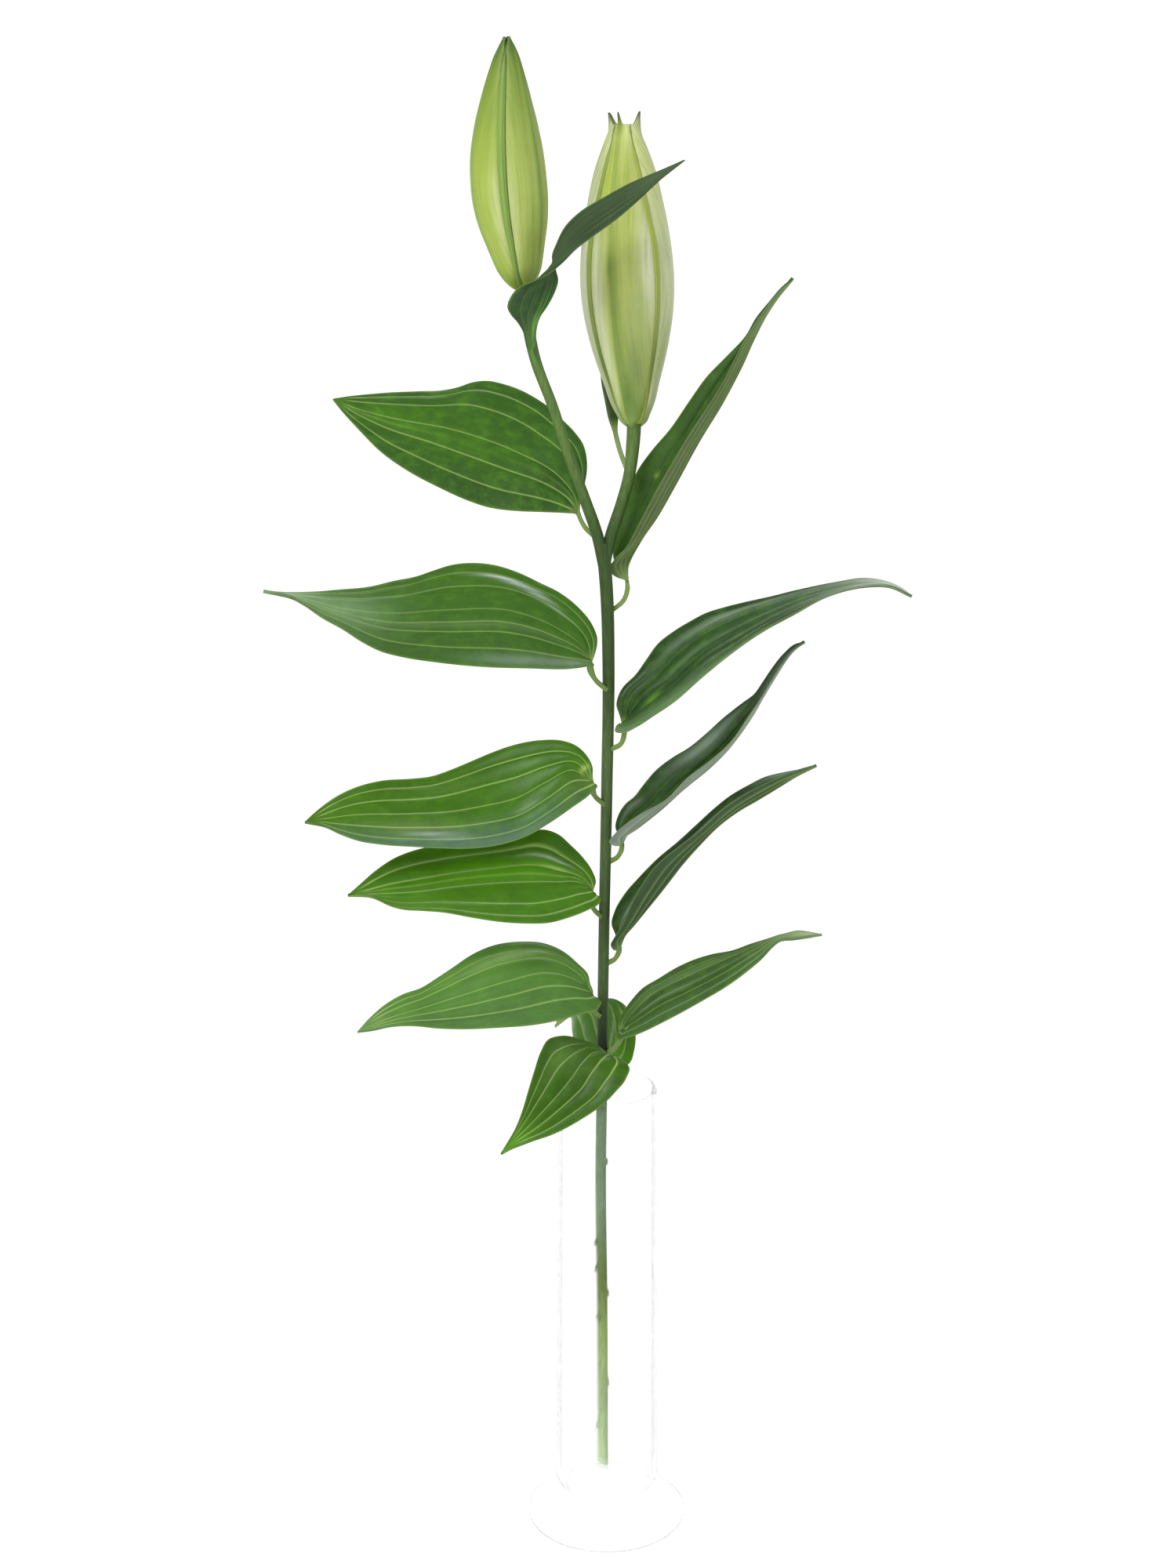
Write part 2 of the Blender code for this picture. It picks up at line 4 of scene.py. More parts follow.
import bmesh
import bpy
import numpy as np
from bpy.props import FloatProperty, FloatVectorProperty, IntProperty, PointerProperty
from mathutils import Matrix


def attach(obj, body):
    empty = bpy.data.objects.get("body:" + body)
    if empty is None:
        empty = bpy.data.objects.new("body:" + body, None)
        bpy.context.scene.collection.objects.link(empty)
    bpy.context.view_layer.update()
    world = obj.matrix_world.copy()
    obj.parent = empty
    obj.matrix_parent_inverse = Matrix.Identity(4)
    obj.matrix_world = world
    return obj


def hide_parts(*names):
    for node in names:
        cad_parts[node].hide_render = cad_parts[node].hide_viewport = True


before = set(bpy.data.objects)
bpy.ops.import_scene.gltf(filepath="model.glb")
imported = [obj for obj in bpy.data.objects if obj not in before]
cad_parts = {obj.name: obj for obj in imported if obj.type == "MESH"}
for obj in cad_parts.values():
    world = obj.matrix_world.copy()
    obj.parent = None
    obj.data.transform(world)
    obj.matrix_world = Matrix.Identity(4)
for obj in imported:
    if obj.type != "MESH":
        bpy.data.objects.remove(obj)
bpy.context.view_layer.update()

bl_info = {
    "name": "Lily in vase",
    "version": (1, 0, 0),
    "blender": (4, 5, 0),
    "location": "3D View > Sidebar > Lily",
    "description": "Makes a leafy lily stalk with two closed buds in a clear glass vase",
    "category": "Object",
}

MM = 0.001

# The photograph's view: where its lens stands, how far it looks down, its picture in pixels, and
# the film's height and the lens in mm
VIEW_PLACE = np.array([-0.0101, -1.221, 0.758])
VIEW_DOWN = math.radians(15.7)
PICTURE = (1500, 2000)
FILM = 36.0
LENS = 57.6

# Stalk and bud stalks: centre lines from the cut end upwards, in mm, and radii along them
STALKS = {
    "stalk": {
        "line": [(-1.8, 17, 15), (-2.5, 2, 130), (-3.4, -10, 204), (-3, -19, 252), (-2.2, -33, 342),
            (-0.9, -45, 427), (-0.3, -52, 488), (-1.2, -56, 523), (-3.2, -59, 549)],
        "radii": [2.85, 2.8, 2.8, 2.75, 2.75, 2.85, 3.2],
    },
    "left bud stalk": {
        "line": [(-2.6, -58, 538), (-5.6, -60.6, 552), (-11.6, -63.2, 570), (-18.8, -66, 590),
            (-26.2, -69, 613.5), (-34.4, -71, 636.4), (-38, -72.4, 656), (-39.6, -73, 670)],
        "radii": [2.9, 2.75, 2.55, 2.45, 2.4, 2.7, 3.2],
    },
    "right bud stalk": {
        "line": [(-2.6, -58, 538), (0.6, -58, 552), (5.8, -56, 567.6), (9.2, -53.6, 580),
            (10.7, -51.6, 592), (11.3, -50.4, 601.5), (11.3, -50.3, 605)],
        "radii": [3, 2.8, 2.75, 2.75, 2.8, 3.2, 3.4],
    },
}
STALK_SIDES = 36
STALK_STEP = 0.6
# The slanting cut: a point of it in mm and its slope in degrees
CUT_PLACE = (-1.8, 17, 20)
CUT_SLOPE = 22
# Scars of stripped leaves: their heights in mm, and angles in degrees from the right round by the back
LEAF_SCARS = [(213, 20), (163, 205), (146, 170), (131, -20), (116, 235), (73, 10), (45, 190)]
# A scar's distance from the centre line, its half width and half height, and its ridge, in mm
SCAR_REACH, SCAR_WIDTH, SCAR_HEIGHT, SCAR_RIDGE = 2.6, 1.9, 1.3, 1.15

# Glass: half profile in mm, from the middle of the base out and up, over the rim and down inside
FOOT_UNDERSIDE = [(0, 0), (20, 0), (40.6, 0), (41.4, 0.06), (42.1, 0.3), (42.6, 0.8), (42.8, 1.4),
    (42.8, 2.1), (42.66, 2.6), (42.3, 3), (41.8, 3.2)]
NECK_BLEND = [(40.3, 3.45), (38.9, 3.7), (37.6, 3.95), (36.2, 4.3), (35, 4.7), (33.8, 5.25),
    (32.8, 5.9), (31.8, 6.7), (31, 7.5), (30.3, 8.4), (29.8, 9.3), (29.25, 10.5), (28.9, 11.8),
    (28.55, 13.2), (28.35, 14.6), (28.15, 16.2), (28, 18)]
WALL_OUTSIDE = [(27.95, 24), (27.7, 52), (26.85, 150), (26.1, 236), (26.02, 245.5)]
RIM = [(26, 248.2), (25.93, 248.8), (25.7, 249.35), (25.3, 249.78), (24.8, 249.97), (24.4, 249.97),
    (23.9, 249.78), (23.5, 249.35), (23.27, 248.8), (23.2, 248.2)]
WALL_INSIDE = [(23.22, 245.5), (23.3, 236), (24.05, 150), (24.8, 60), (25.03, 26), (25, 23.2),
    (24.88, 21.8), (24.6, 20.6), (24.1, 19.5), (23.4, 18.7), (22.5, 18.2), (21.4, 18), (20.4, 18), (0, 18)]

# Leaves as the view sees them. "stalk" is the leaf stalk's centre line in mm, from the stem out.
# "far", "mid" and "near" are the blade's far edge, midrib and near edge in the picture's pixels,
# from its base to its tip, and "depth" says how far back each line stands, evenly from base to tip.
# "veins" are shares of the half width, minus towards the far edge, and "faint" ones hardly show.
# "green" and "back" are the colours of the two sides: green is the one that the view sees, unless
# "flip" turns the blade over. "contrast" is how clearly the green side's veins show, "patchy" its
# share of yellower spots, and "striped" how clearly the back's veins and its fibres show. "fold" is
# how far the blade is bent along its midrib, from a soft hollow at 0 to a fold at 1. "stalk_width"
# is in mm, and "pale" is how far the leaf stalk's own colour shows. "patches" are soft spots of
# another colour: (share of length, share of half width, their spreads, strength, colour). "waves"
# are soft rises: (share of length, share of half width, their spreads, height in mm).
# Some leaves' patches are painted highlights, sheen and reflections, as the comments at those leaves say.
LEAVES = {
    "leaf_left_1": {
        "stalk": [(-6.4, -58.6, 551), (-11.4, -57.2, 555.6), (-14.8, -56.4, 562.6)],
        "far": [(741, 636), (746, 617), (749, 592), (744, 567), (732, 550), (716, 534), (697, 517),
            (680, 506), (660, 496), (642, 490), (622, 486), (602, 488), (585, 494), (565, 498), (535, 499),
            (490, 501), (450, 505), (424, 509)],
        "mid": [(732, 632), (710, 605), (660, 577), (585, 550), (490, 531), (445, 518), (424, 509)],
        "near": [(731, 655), (710, 654), (685, 653), (660, 652), (622, 647), (595, 638), (560, 622),
            (522, 602), (485, 576), (460, 551), (440, 529), (424, 509)],
        "depth": ((-56, -44, -37, -40, -50, -65), (-56, -50, -50, -54, -59, -65),
            (-57, -63, -63, -65, -65, -65)),
        "veins": (-0.8, -0.5, 0, 0.35, 0.69), "faint": (0.17,), "green": "#355d1b", "back": "#566a47",
        "contrast": 0.75, "patchy": 0.5,
        "patches": [(0.75, 0, 0.16, 0.4, 0.6, "#487a14"), (0.5, 0.2, 0.14, 0.25, 0.45, "#487a14"),
            (0.3, 0.9, 0.35, 0.4, 0.8, "#304f1d"), (0.45, -1, 0.4, 0.22, 0.6, "#2f5620"),
            (0, 0, 0.04, 1, 0.5, "#49741d"), (0.18, 0.3, 0.1, 0.5, 0.6, "#2c4c17"),
            (0.97, 0, 0.05, 1.5, 0.6, "#4f7f1b")],
        "waves": [(0.5, -0.6, 0.18, 0.3, 1.2), (0.75, 0.5, 0.12, 0.3, -0.8)],
    },
    "leaf_left_2": {
        "stalk": [(-1.2, -52.8, 476.5), (-6.9, -57.4, 483), (-9.2, -61, 491)],
        "far": [(759, 834), (762, 815), (755, 796), (738, 775), (714, 756), (688, 743), (658, 729),
            (632, 721), (602, 718), (579, 720), (555, 727), (532, 735), (502, 741), (473, 748), (432, 752),
            (382, 756), (358, 756), (335, 754)],
        "mid": [(748, 834), (702, 797), (652, 779), (570, 778), (497, 782), (440, 776), (385, 764),
            (335, 754)],
        "near": [(758, 849), (746, 851), (732, 853), (673, 853), (614, 851), (555, 845), (511, 838),
            (485, 831), (461, 819), (438, 804), (408, 787), (388, 772), (370, 761), (335, 754)],
        "depth": ((-61, -51, -52, -58, -72, -86), (-61, -63, -68, -74, -80, -86),
            (-62, -77, -83, -86, -86, -86)),
        "veins": (-0.79, -0.49, 0, 0.25, 0.43, 0.71), "green": "#38601a", "back": "#566c40",
        "contrast": 0.5,
        # Several of these patches are painted light: the row of whitish spots near the far edge, a third of
        # the way out, is a painted gloss streak; the grey-green towards the tip is painted sheen; and the
        # grey spots along the near edge by the base are painted highlights.
        "patches": [(0.4, -0.75, 0.35, 0.3, 0.7, "#3b6514"), (0.96, 0, 0.13, 1.5, 0.95, "#98ae91"),
            (0.8, 0.7, 0.12, 0.5, 0.6, "#567240"), (0.5, 0.75, 0.5, 0.35, 0.5, "#3b5928"),
            (0.75, 0.1, 0.12, 0.6, 0.7, "#7f9f74"), (0.385, -0.73, 0.05, 0.04, 0.95, "#b0beb1"),
            (0.33, -0.66, 0.045, 0.05, 0.95, "#aabaad"), (0.28, -0.57, 0.045, 0.04, 0.85, "#9fb19d"),
            (0.22, -0.47, 0.05, 0.03, 0.7, "#93a692"), (0.3, 0.88, 0.1, 0.08, 0.5, "#859986"),
            (0.45, 0.3, 0.35, 0.07, 0.5, "#607c4a"), (0.13, 0.85, 0.1, 0.1, 0.6, "#859986")],
        "waves": [(0.35, -0.55, 0.1, 0.2, 1), (0.3, 0.85, 0.2, 0.2, 0.8), (0.7, 0.6, 0.12, 0.3, 0.9)],
    },
    "leaf_left_3": {
        "stalk": [(-1.8, -45.2, 416.8), (-6.8, -49.2, 422.6), (-8.2, -53.8, 429.6)],
        "far": [(756, 991), (756, 979), (748, 963), (735, 951), (719, 945), (690, 944), (656, 950),
            (627, 960), (601, 971), (577, 981), (551, 990), (527, 993), (485, 996), (454, 1004),
            (427, 1017), (401, 1037), (388, 1049)],
        "mid": [(746, 990), (733, 982), (696, 998), (659, 1018), (617, 1028), (577, 1035), (525, 1038),
            (446, 1040), (388, 1049)],
        "near": [(762, 1003), (753, 1013), (730, 1030), (704, 1048), (675, 1065), (648, 1075), (630, 1079),
            (604, 1082), (564, 1082), (527, 1080), (485, 1077), (459, 1073), (433, 1064), (412, 1054),
            (388, 1049)],
        "depth": ((-54, -48, -48, -58, -72, -84), (-54, -59, -64, -71, -77, -84),
            (-55, -70, -77, -83, -86, -84)),
        "veins": (-0.75, -0.42, 0, 0.42, 0.75), "green": "#3a670d", "back": "#546c31", "contrast": 0.8,
        # Painted light among these patches: the grey-green strip along the near edge is a painted
        # reflection, and the small grey spots past the middle are a painted highlight.
        "patches": [(0.88, -0.2, 0.14, 0.7, 0.8, "#497610"), (0.5, 0.9, 0.36, 0.42, 0.9, "#54705a"),
            (0.62, 0.42, 0.14, 0.2, 0.7, "#617a3c"), (0.58, 0.62, 0.06, 0.06, 0.8, "#93a296"),
            (0.53, 0.72, 0.05, 0.05, 0.7, "#7f9082"), (0.3, 0.34, 0.05, 0.04, 0.6, "#7a946c"),
            (0.1, 0.5, 0.1, 0.5, 0.6, "#496427"), (0.085, -0.45, 0.011, 0.42, 0.9, "#a0b958"),
            (0.05, 0.2, 0.03, 0.5, 0.5, "#6d893e"), (0.55, -0.6, 0.1, 0.2, 0.4, "#577732")],
        "waves": [(0.12, 0.1, 0.05, 0.5, -1.2), (0.45, 0.5, 0.12, 0.25, 1), (0.7, 0.7, 0.15, 0.3, -0.6)],
    },
    "leaf_left_4": {
        "stalk": [(-2.8, -36.2, 355.8), (-7.4, -41, 362.2), (-8.9, -45.6, 370)],
        "far": [(757, 1134), (760, 1125), (756, 1112), (743, 1093), (727, 1077), (712, 1064), (693, 1058),
            (669, 1063), (640, 1068), (605, 1072), (565, 1077), (527, 1085), (504, 1094), (477, 1112),
            (459, 1128), (443, 1142)],
        "mid": [(750, 1131), (740, 1126), (709, 1125), (643, 1126), (583, 1131), (527, 1138), (483, 1140),
            (443, 1142)],
        "near": [(767, 1147), (763, 1154), (754, 1159), (730, 1169), (701, 1177), (669, 1178), (638, 1176),
            (604, 1171), (564, 1164), (538, 1162), (512, 1160), (493, 1154), (477, 1145), (460, 1141),
            (443, 1142)],
        "depth": ((-46, -40, -41, -46, -57, -70), (-46, -52, -57, -61, -66, -70),
            (-47, -63, -70, -73, -72, -70)),
        "veins": (-0.7, -0.35, 0, 0.5, 0.8), "faint": (-0.18, 0.25), "green": "#40700f", "back": "#5b7a36",
        "contrast": 0.85,
        # The whitish streak near the far edge, about a quarter of the way out, is a painted highlight.
        "patches": [(0.7, -0.2, 0.25, 0.4, 0.5, "#497e11"), (0.4, 0.85, 0.5, 0.35, 0.7, "#3d6918"),
            (0.28, -0.55, 0.09, 0.03, 0.95, "#b0beab"), (0.33, -0.72, 0.12, 0.03, 0.6, "#94ba59"),
            (0.44, -0.28, 0.2, 0.24, 0.95, "#589b10"), (0.24, -0.38, 0.05, 0.03, 0.8, "#9dc260"),
            (0, -0.3, 0.16, 0.6, 0.4, "#4f7b22"), (0.75, 0.6, 0.2, 0.4, 0.4, "#538120")],
        "waves": [(0.3, -0.6, 0.1, 0.25, 0.5), (0.6, 0.6, 0.12, 0.3, 0.6)],
    },
    "leaf_left_5": {
        "stalk": [(-3.2, -27.6, 299.8), (-7.3, -34, 305.8), (-8.9, -39.4, 313)],
        "far": [(756, 1263), (753, 1256), (750, 1243), (737, 1229), (719, 1214), (693, 1203), (666, 1201),
            (629, 1206), (603, 1217), (579, 1233), (558, 1247), (537, 1260), (514, 1268), (493, 1280),
            (472, 1298), (455, 1317)],
        "mid": [(748, 1261), (729, 1248), (698, 1241), (650, 1251), (598, 1267), (545, 1284), (493, 1300),
            (455, 1317)],
        "near": [(767, 1279), (763, 1286), (743, 1293), (711, 1302), (677, 1308), (637, 1311), (587, 1313),
            (558, 1312), (527, 1309), (498, 1310), (472, 1315), (455, 1317)],
        "depth": ((-40, -32, -37, -46, -58, -70), (-40, -46, -53, -58, -64, -70),
            (-41, -59, -66, -68, -69, -70)),
        "veins": (-0.74, -0.45, 0, 0.33, 0.64), "green": "#4f7a32", "back": "#5c734c", "contrast": 0.8,
        "patches": [(0.35, -0.65, 0.3, 0.35, 0.5, "#55832b"), (0.5, 0.75, 0.6, 0.35, 0.7, "#476b37"),
            (0.1, 0.4, 0.1, 0.5, 0.5, "#416327"), (0.9, 0, 0.1, 1, 0.5, "#6d8f4c"),
            (0.39, -0.6, 0.13, 0.14, 0.85, "#84a662")],
        "waves": [(0.35, -0.5, 0.15, 0.3, 0.8), (0.7, 0.5, 0.12, 0.3, 0.6)],
    },
    "leaf_right_1": {
        "stalk": [(0.6, -53, 514.6), (7.2, -53, 520.8), (8.4, -51.2, 528.6)],
        "far": [(788, 728), (782, 709), (784, 688), (790, 663), (801, 633), (811, 604), (831, 575),
            (855, 547), (879, 512), (901, 481), (928, 453), (952, 427), (964, 406), (982, 384), (998, 365),
            (1012, 354)],
        "mid": [(800, 725), (816, 691), (837, 660), (861, 618), (891, 563), (922, 512), (946, 466),
            (961, 433), (976, 403), (990, 381), (1012, 354)],
        "near": [(784, 735), (776, 727), (783, 715), (798, 700), (810, 678), (840, 621), (876, 560),
            (922, 488), (949, 436), (973, 400), (990, 378), (1012, 354)],
        "depth": ((-51, -42, -43, -45, -48, -50), (-51, -50, -50, -50, -50, -50),
            (-52, -64, -66, -62, -56, -50)),
        "veins": (-0.55, -0.28, 0, 0.25, 0.5, 0.75), "green": "#375922", "back": "#566a3e", "contrast": 0.1,
        "fold": 0.85,
        "patches": [(0.1, -0.2, 0.16, 1.2, 0.8, "#497a23"), (0.36, -0.57, 0.007, 0.035, 0.7, "#b2c830"),
            (0.3, -0.85, 0.3, 0.2, 0.5, "#496d26"), (0.5, -0.3, 0.4, 0.2, 0.5, "#2e4f1e")],
        "waves": [(0.3, -0.6, 0.12, 0.3, -0.8), (0.55, -0.7, 0.1, 0.3, 0.9)],
    },
    "leaf_right_2": {
        "stalk": [(0.6, -48, 445.6), (6, -52.6, 450), (7.4, -54.6, 456.6)],
        "far": [(790, 912), (786, 899), (788, 889), (794, 877), (810, 861), (825, 840), (839, 821),
            (858, 806), (881, 792), (900, 782), (922, 775), (950, 768), (986, 760), (1014, 753),
            (1042, 747), (1072, 742), (1100, 738), (1122, 740), (1139, 745), (1153, 752), (1164, 761)],
        "mid": [(806, 911), (822, 890), (850, 866), (892, 831), (955, 795), (1022, 766), (1093, 747),
            (1135, 748), (1164, 761)],
        "near": [(786, 926), (784, 933), (794, 935), (811, 928), (833, 914), (861, 895), (894, 866),
            (928, 838), (972, 807), (1014, 784), (1056, 761), (1083, 752), (1111, 747), (1139, 748),
            (1164, 761)],
        "depth": ((-55, -46, -48, -55, -65, -75), (-55, -59, -63, -65, -70, -75),
            (-56, -71, -73, -72, -72, -75)),
        "veins": (-0.7, -0.4, 0, 0.4, 0.7), "green": "#25411b", "back": "#48613f", "contrast": 0.12,
        "fold": 0.4,
        # Painted light among these patches: the whitish tip and the grey streak near the far edge are
        # painted sheen, and the grey-green strip along the near edge is a painted reflection.
        "patches": [(0.3, -0.3, 0.25, 0.3, 0.5, "#2d4d20"), (0.93, 0, 0.18, 1.5, 0.95, "#bcc7b8"),
            (0.5, -0.62, 0.2, 0.1, 0.8, "#80947b"), (0.33, -0.1, 0.09, 0.08, 0.7, "#5c7c4f"),
            (0.7, -0.2, 0.2, 0.25, 0.6, "#43613d"), (0.2, 0.35, 0.03, 0.12, 0.6, "#5e911d"),
            (0.25, 0.9, 0.3, 0.24, 0.8, "#648159"), (0.35, 0.18, 0.2, 0.06, 0.5, "#44643d")],
        "waves": [(0.38, 0.35, 0.07, 0.25, 1.2), (0.26, -0.1, 0.06, 0.25, -1.1),
            (0.2, -0.6, 0.1, 0.3, -0.8), (0.5, -0.5, 0.12, 0.2, 0.9)],
    },
    "leaf_right_3": {
        "stalk": [(0.2, -38.8, 385.6), (5, -43.2, 390.4), (6.4, -45.8, 397.4)],
        "far": [(789, 1066), (785, 1056), (788, 1041), (798, 1025), (809, 1016), (819, 1003), (837, 982),
            (858, 966), (878, 954), (899, 937), (922, 916), (946, 897), (962, 885), (972, 871), (984, 853),
            (999, 834), (1013, 822), (1027, 818)],
        "mid": [(797, 1068), (813, 1056), (843, 1032), (872, 1006), (905, 979), (928, 956), (940, 941),
            (958, 915), (972, 891), (984, 871), (993, 856), (1003, 840), (1014, 827), (1027, 818)],
        "near": [(784, 1079), (777, 1075), (784, 1064), (797, 1052), (813, 1041), (852, 1018), (875, 994),
            (905, 971), (930, 949), (955, 914), (972, 889), (985, 867), (998, 846), (1012, 828),
            (1027, 818)],
        "depth": ((-45, -38, -40, -43, -45, -46), (-46, -47, -48, -48, -47, -46),
            (-47, -61, -64, -60, -54, -46)),
        "veins": (-0.55, -0.28, 0, 0.3, 0.6), "green": "#25411b", "back": "#859284", "contrast": 0.12,
        "fold": 0.8,
        # The grey patches along the far edge, past the middle and at the tip are painted sheen.
        "patches": [(0.5, -0.75, 0.12, 0.2, 0.85, "#8da18d"), (0.78, -0.3, 0.1, 0.3, 0.6, "#7e917d"),
            (0.9, 0, 0.15, 1, 0.5, "#6e7d67"), (0.15, -0.2, 0.15, 0.6, 0.4, "#31551c")],
        "waves": [(0.45, -0.6, 0.1, 0.3, 0.9), (0.2, -0.5, 0.1, 0.3, -0.7)],
    },
    "leaf_right_4": {
        "stalk": [(-0.6, -30.4, 329.6), (3.8, -36.2, 334.6), (5.5, -39.6, 341.6)],
        "far": [(785, 1192), (780, 1179), (784, 1162), (796, 1141), (816, 1118), (840, 1094), (863, 1075),
            (887, 1053), (911, 1031), (931, 1015), (955, 1001), (975, 991), (999, 985), (1022, 981),
            (1042, 976)],
        "mid": [(797, 1193), (808, 1180), (825, 1159), (849, 1129), (869, 1103), (893, 1076), (916, 1053),
            (940, 1035), (969, 1018), (999, 1000), (1016, 989), (1042, 976)],
        "near": [(783, 1212), (779, 1206), (783, 1197), (790, 1186), (813, 1138), (837, 1104), (863, 1082),
            (893, 1059), (922, 1032), (948, 1014), (975, 1000), (1002, 988), (1042, 976)],
        "depth": ((-39, -33, -34, -38, -44, -50), (-40, -43, -45, -46, -48, -50),
            (-41, -53, -56, -55, -53, -50)),
        "veins": (-0.6, -0.3, 0, 0.3, 0.6), "green": "#223c17", "back": "#3b5331", "contrast": 0.12,
        "fold": 0.8,
        # The whitish tip and the two grey streaks along the far veins are painted sheen.
        "patches": [(0.1, 0, 0.12, 1, 0.5, "#2e5713"), (0.9, 0, 0.15, 1, 0.6, "#a3b59f"),
            (0.45, -0.6, 0.4, 0.06, 0.8, "#819882"), (0.45, -0.2, 0.4, 0.05, 0.7, "#758b73")],
        "waves": [(0.4, -0.6, 0.12, 0.3, 0.7)],
    },
    "leaf_right_5": {
        "stalk": [(-1.2, -23, 278.6), (4, -28.4, 284.2), (6.7, -31.8, 291.4)],
        "far": [(789, 1311), (790, 1300), (796, 1289), (806, 1275), (819, 1261), (840, 1248), (863, 1234),
            (885, 1224), (908, 1217), (935, 1212), (958, 1204), (981, 1198), (1001, 1191), (1015, 1187),
            (1035, 1189), (1049, 1192)],
        "mid": [(798, 1309), (815, 1293), (842, 1273), (876, 1257), (922, 1234), (960, 1213), (993, 1196),
            (1015, 1193), (1049, 1192)],
        "near": [(785, 1320), (787, 1326), (799, 1324), (819, 1317), (840, 1307), (867, 1293), (899, 1275),
            (926, 1259), (951, 1241), (972, 1223), (985, 1208), (993, 1201), (1013, 1198), (1033, 1195),
            (1049, 1192)],
        "depth": ((-32, -29, -33, -39, -46, -52), (-32, -38, -42, -46, -49, -52),
            (-33, -50, -57, -58, -55, -52)),
        "veins": (-0.7, -0.4, 0, 0.35, 0.7), "green": "#32501d", "back": "#5d7355", "contrast": 0.45,
        # The pale tip and the grey streak along the midrib are painted sheen.
        "patches": [(0.35, -0.5, 0.3, 0.22, 0.6, "#5a7847"), (0.35, 0.8, 0.4, 0.3, 0.6, "#46693c"),
            (0.95, 0, 0.18, 1, 0.9, "#9db384"), (0.12, 0.48, 0.01, 0.05, 1, "#acbf38"),
            (0.3, 0.05, 0.2, 0.1, 0.5, "#748d6d"), (0, -0.5, 0.12, 0.6, 0.6, "#4b741e")],
        "waves": [(0.4, 0.5, 0.15, 0.3, 0.8)],
    },
    "leaf_front": {
        "stalk": [(-2.7, -22.8, 265.6), (-1.6, -30.4, 272), (0, -34.9, 280.4)],
        "far": [(766, 1337), (742, 1326), (716, 1321), (699, 1326), (689, 1343), (682, 1364), (674, 1390),
            (666, 1417), (656, 1443), (639, 1472)],
        "mid": [(772, 1343), (766, 1342), (757, 1343), (744, 1354), (729, 1375), (693, 1417), (660, 1451),
            (639, 1472)],
        "near": [(785, 1350), (797, 1355), (803, 1362), (799, 1375), (785, 1393), (769, 1409), (743, 1427),
            (703, 1448), (672, 1458), (650, 1466), (639, 1472)],
        "depth": ((-34, -46, -60, -76, -92, -106), (-35, -50, -66, -82, -95, -106),
            (-35, -50, -72, -86, -99, -106)),
        "veins": (-0.7, -0.4, 0, 0.35, 0.7), "green": "#385f11", "back": "#5b773f", "contrast": 0.9,
        "patches": [(0.95, 0.2, 0.2, 1.2, 0.8, "#58990f"), (0.33, 0, 0.07, 1.2, 0.6, "#506d34"),
            (0.42, -0.5, 0.1, 0.2, 0.5, "#658943"), (0.45, 0.25, 0.12, 0.28, 0.85, "#30580b"),
            (0.6, 0.95, 0.25, 0.2, 0.5, "#476e31")],
        "waves": [(0.5, 0.5, 0.12, 0.3, 0.8), (0.45, -0.5, 0.12, 0.3, -0.5)],
    },
    "leaf_back": {
        "stalk": [(-2.8, -18.8, 259.6), (-1.8, -14.4, 265.2), (0.2, -11.2, 270.6)],
        "far": [(786, 1360), (797, 1361), (804, 1355), (809, 1340), (811, 1322), (807, 1300), (796, 1281),
            (775, 1276), (750, 1283), (727, 1295), (708, 1309)],
        "mid": [(775, 1342), (774, 1322), (772, 1304), (768, 1289), (758, 1279), (744, 1282), (726, 1294),
            (708, 1309)],
        "near": [(762, 1352), (745, 1347), (735, 1337), (730, 1317), (728, 1297), (723, 1289), (716, 1292),
            (711, 1300), (708, 1309)],
        "depth": ((-11, 2, 18, 40, 68, 100), (-11, 8, 28, 49, 72, 100), (-11, 4, 22, 44, 70, 100)),
        "veins": (-0.7, -0.35, 0, 0.35, 0.7), "green": "#457a0b", "back": "#607d33", "contrast": 0.85,
        "patches": [(0.6, -0.5, 0.3, 0.5, 0.4, "#487423"), (0.1, 0, 0.12, 1, 0.5, "#528f0c")],
        "waves": [(0.4, -0.5, 0.12, 0.3, 0.6)],
    },
    "bract_left": {
        "stalk": [(-32.6, -71, 629.5), (-34.4, -72.8, 634.5), (-36, -75.4, 640.5)],
        "far": [(682, 436), (683, 420), (688, 404), (698, 390), (708, 372), (712, 357), (708, 343),
            (704, 328), (710, 310), (720, 290), (740, 270), (770, 252), (802, 235), (835, 221), (874, 204)],
        "mid": [(677, 438), (680, 404), (687, 386), (693, 368), (699, 351), (707, 333), (722, 312),
            (743, 290), (770, 270), (800, 250), (838, 227), (874, 204)],
        "near": [(672, 440), (668, 422), (660, 410), (652, 402), (647, 392), (651, 379), (661, 367),
            (680, 359), (702, 348), (717, 336), (733, 320), (752, 305), (785, 281), (815, 255), (840, 231),
            (874, 204)],
        "depth": ((-76, -86, -84, -90, -96, -99), (-77.6, -87, -93, -96, -98, -99),
            (-76, -87, -100, -96, -98, -99)),
        "veins": (-0.6, -0.3, 0, 0.3, 0.6), "green": "#2d4926", "back": "#374c2e", "contrast": 0.1,
        "flip": True, "stalk_width": 2.9, "striped": (0.15, 0.15), "pale": 0,
        "patches": [(0, 0, 0.09, 1, 0.9, "#628a3f"), (0.16, -0.5, 0.12, 0.4, 0.9, "#578838"),
            (0.12, -0.2, 0.1, 0.05, 0.8, "#8fb152")],
        "waves": [],
    },
    "bract_right": {
        "stalk": [(7.9, -51, 582.6), (5, -46.8, 589.8), (2.8, -43.4, 598)],
        "far": [(788, 524), (782, 492), (778, 459), (778, 424), (781, 389), (788, 354)],
        "mid": [(778, 522), (772, 488), (771, 453), (773, 420), (780, 387), (788, 354)],
        "near": [(774, 518), (767, 486), (767, 450), (771, 418), (779, 386), (788, 354)],
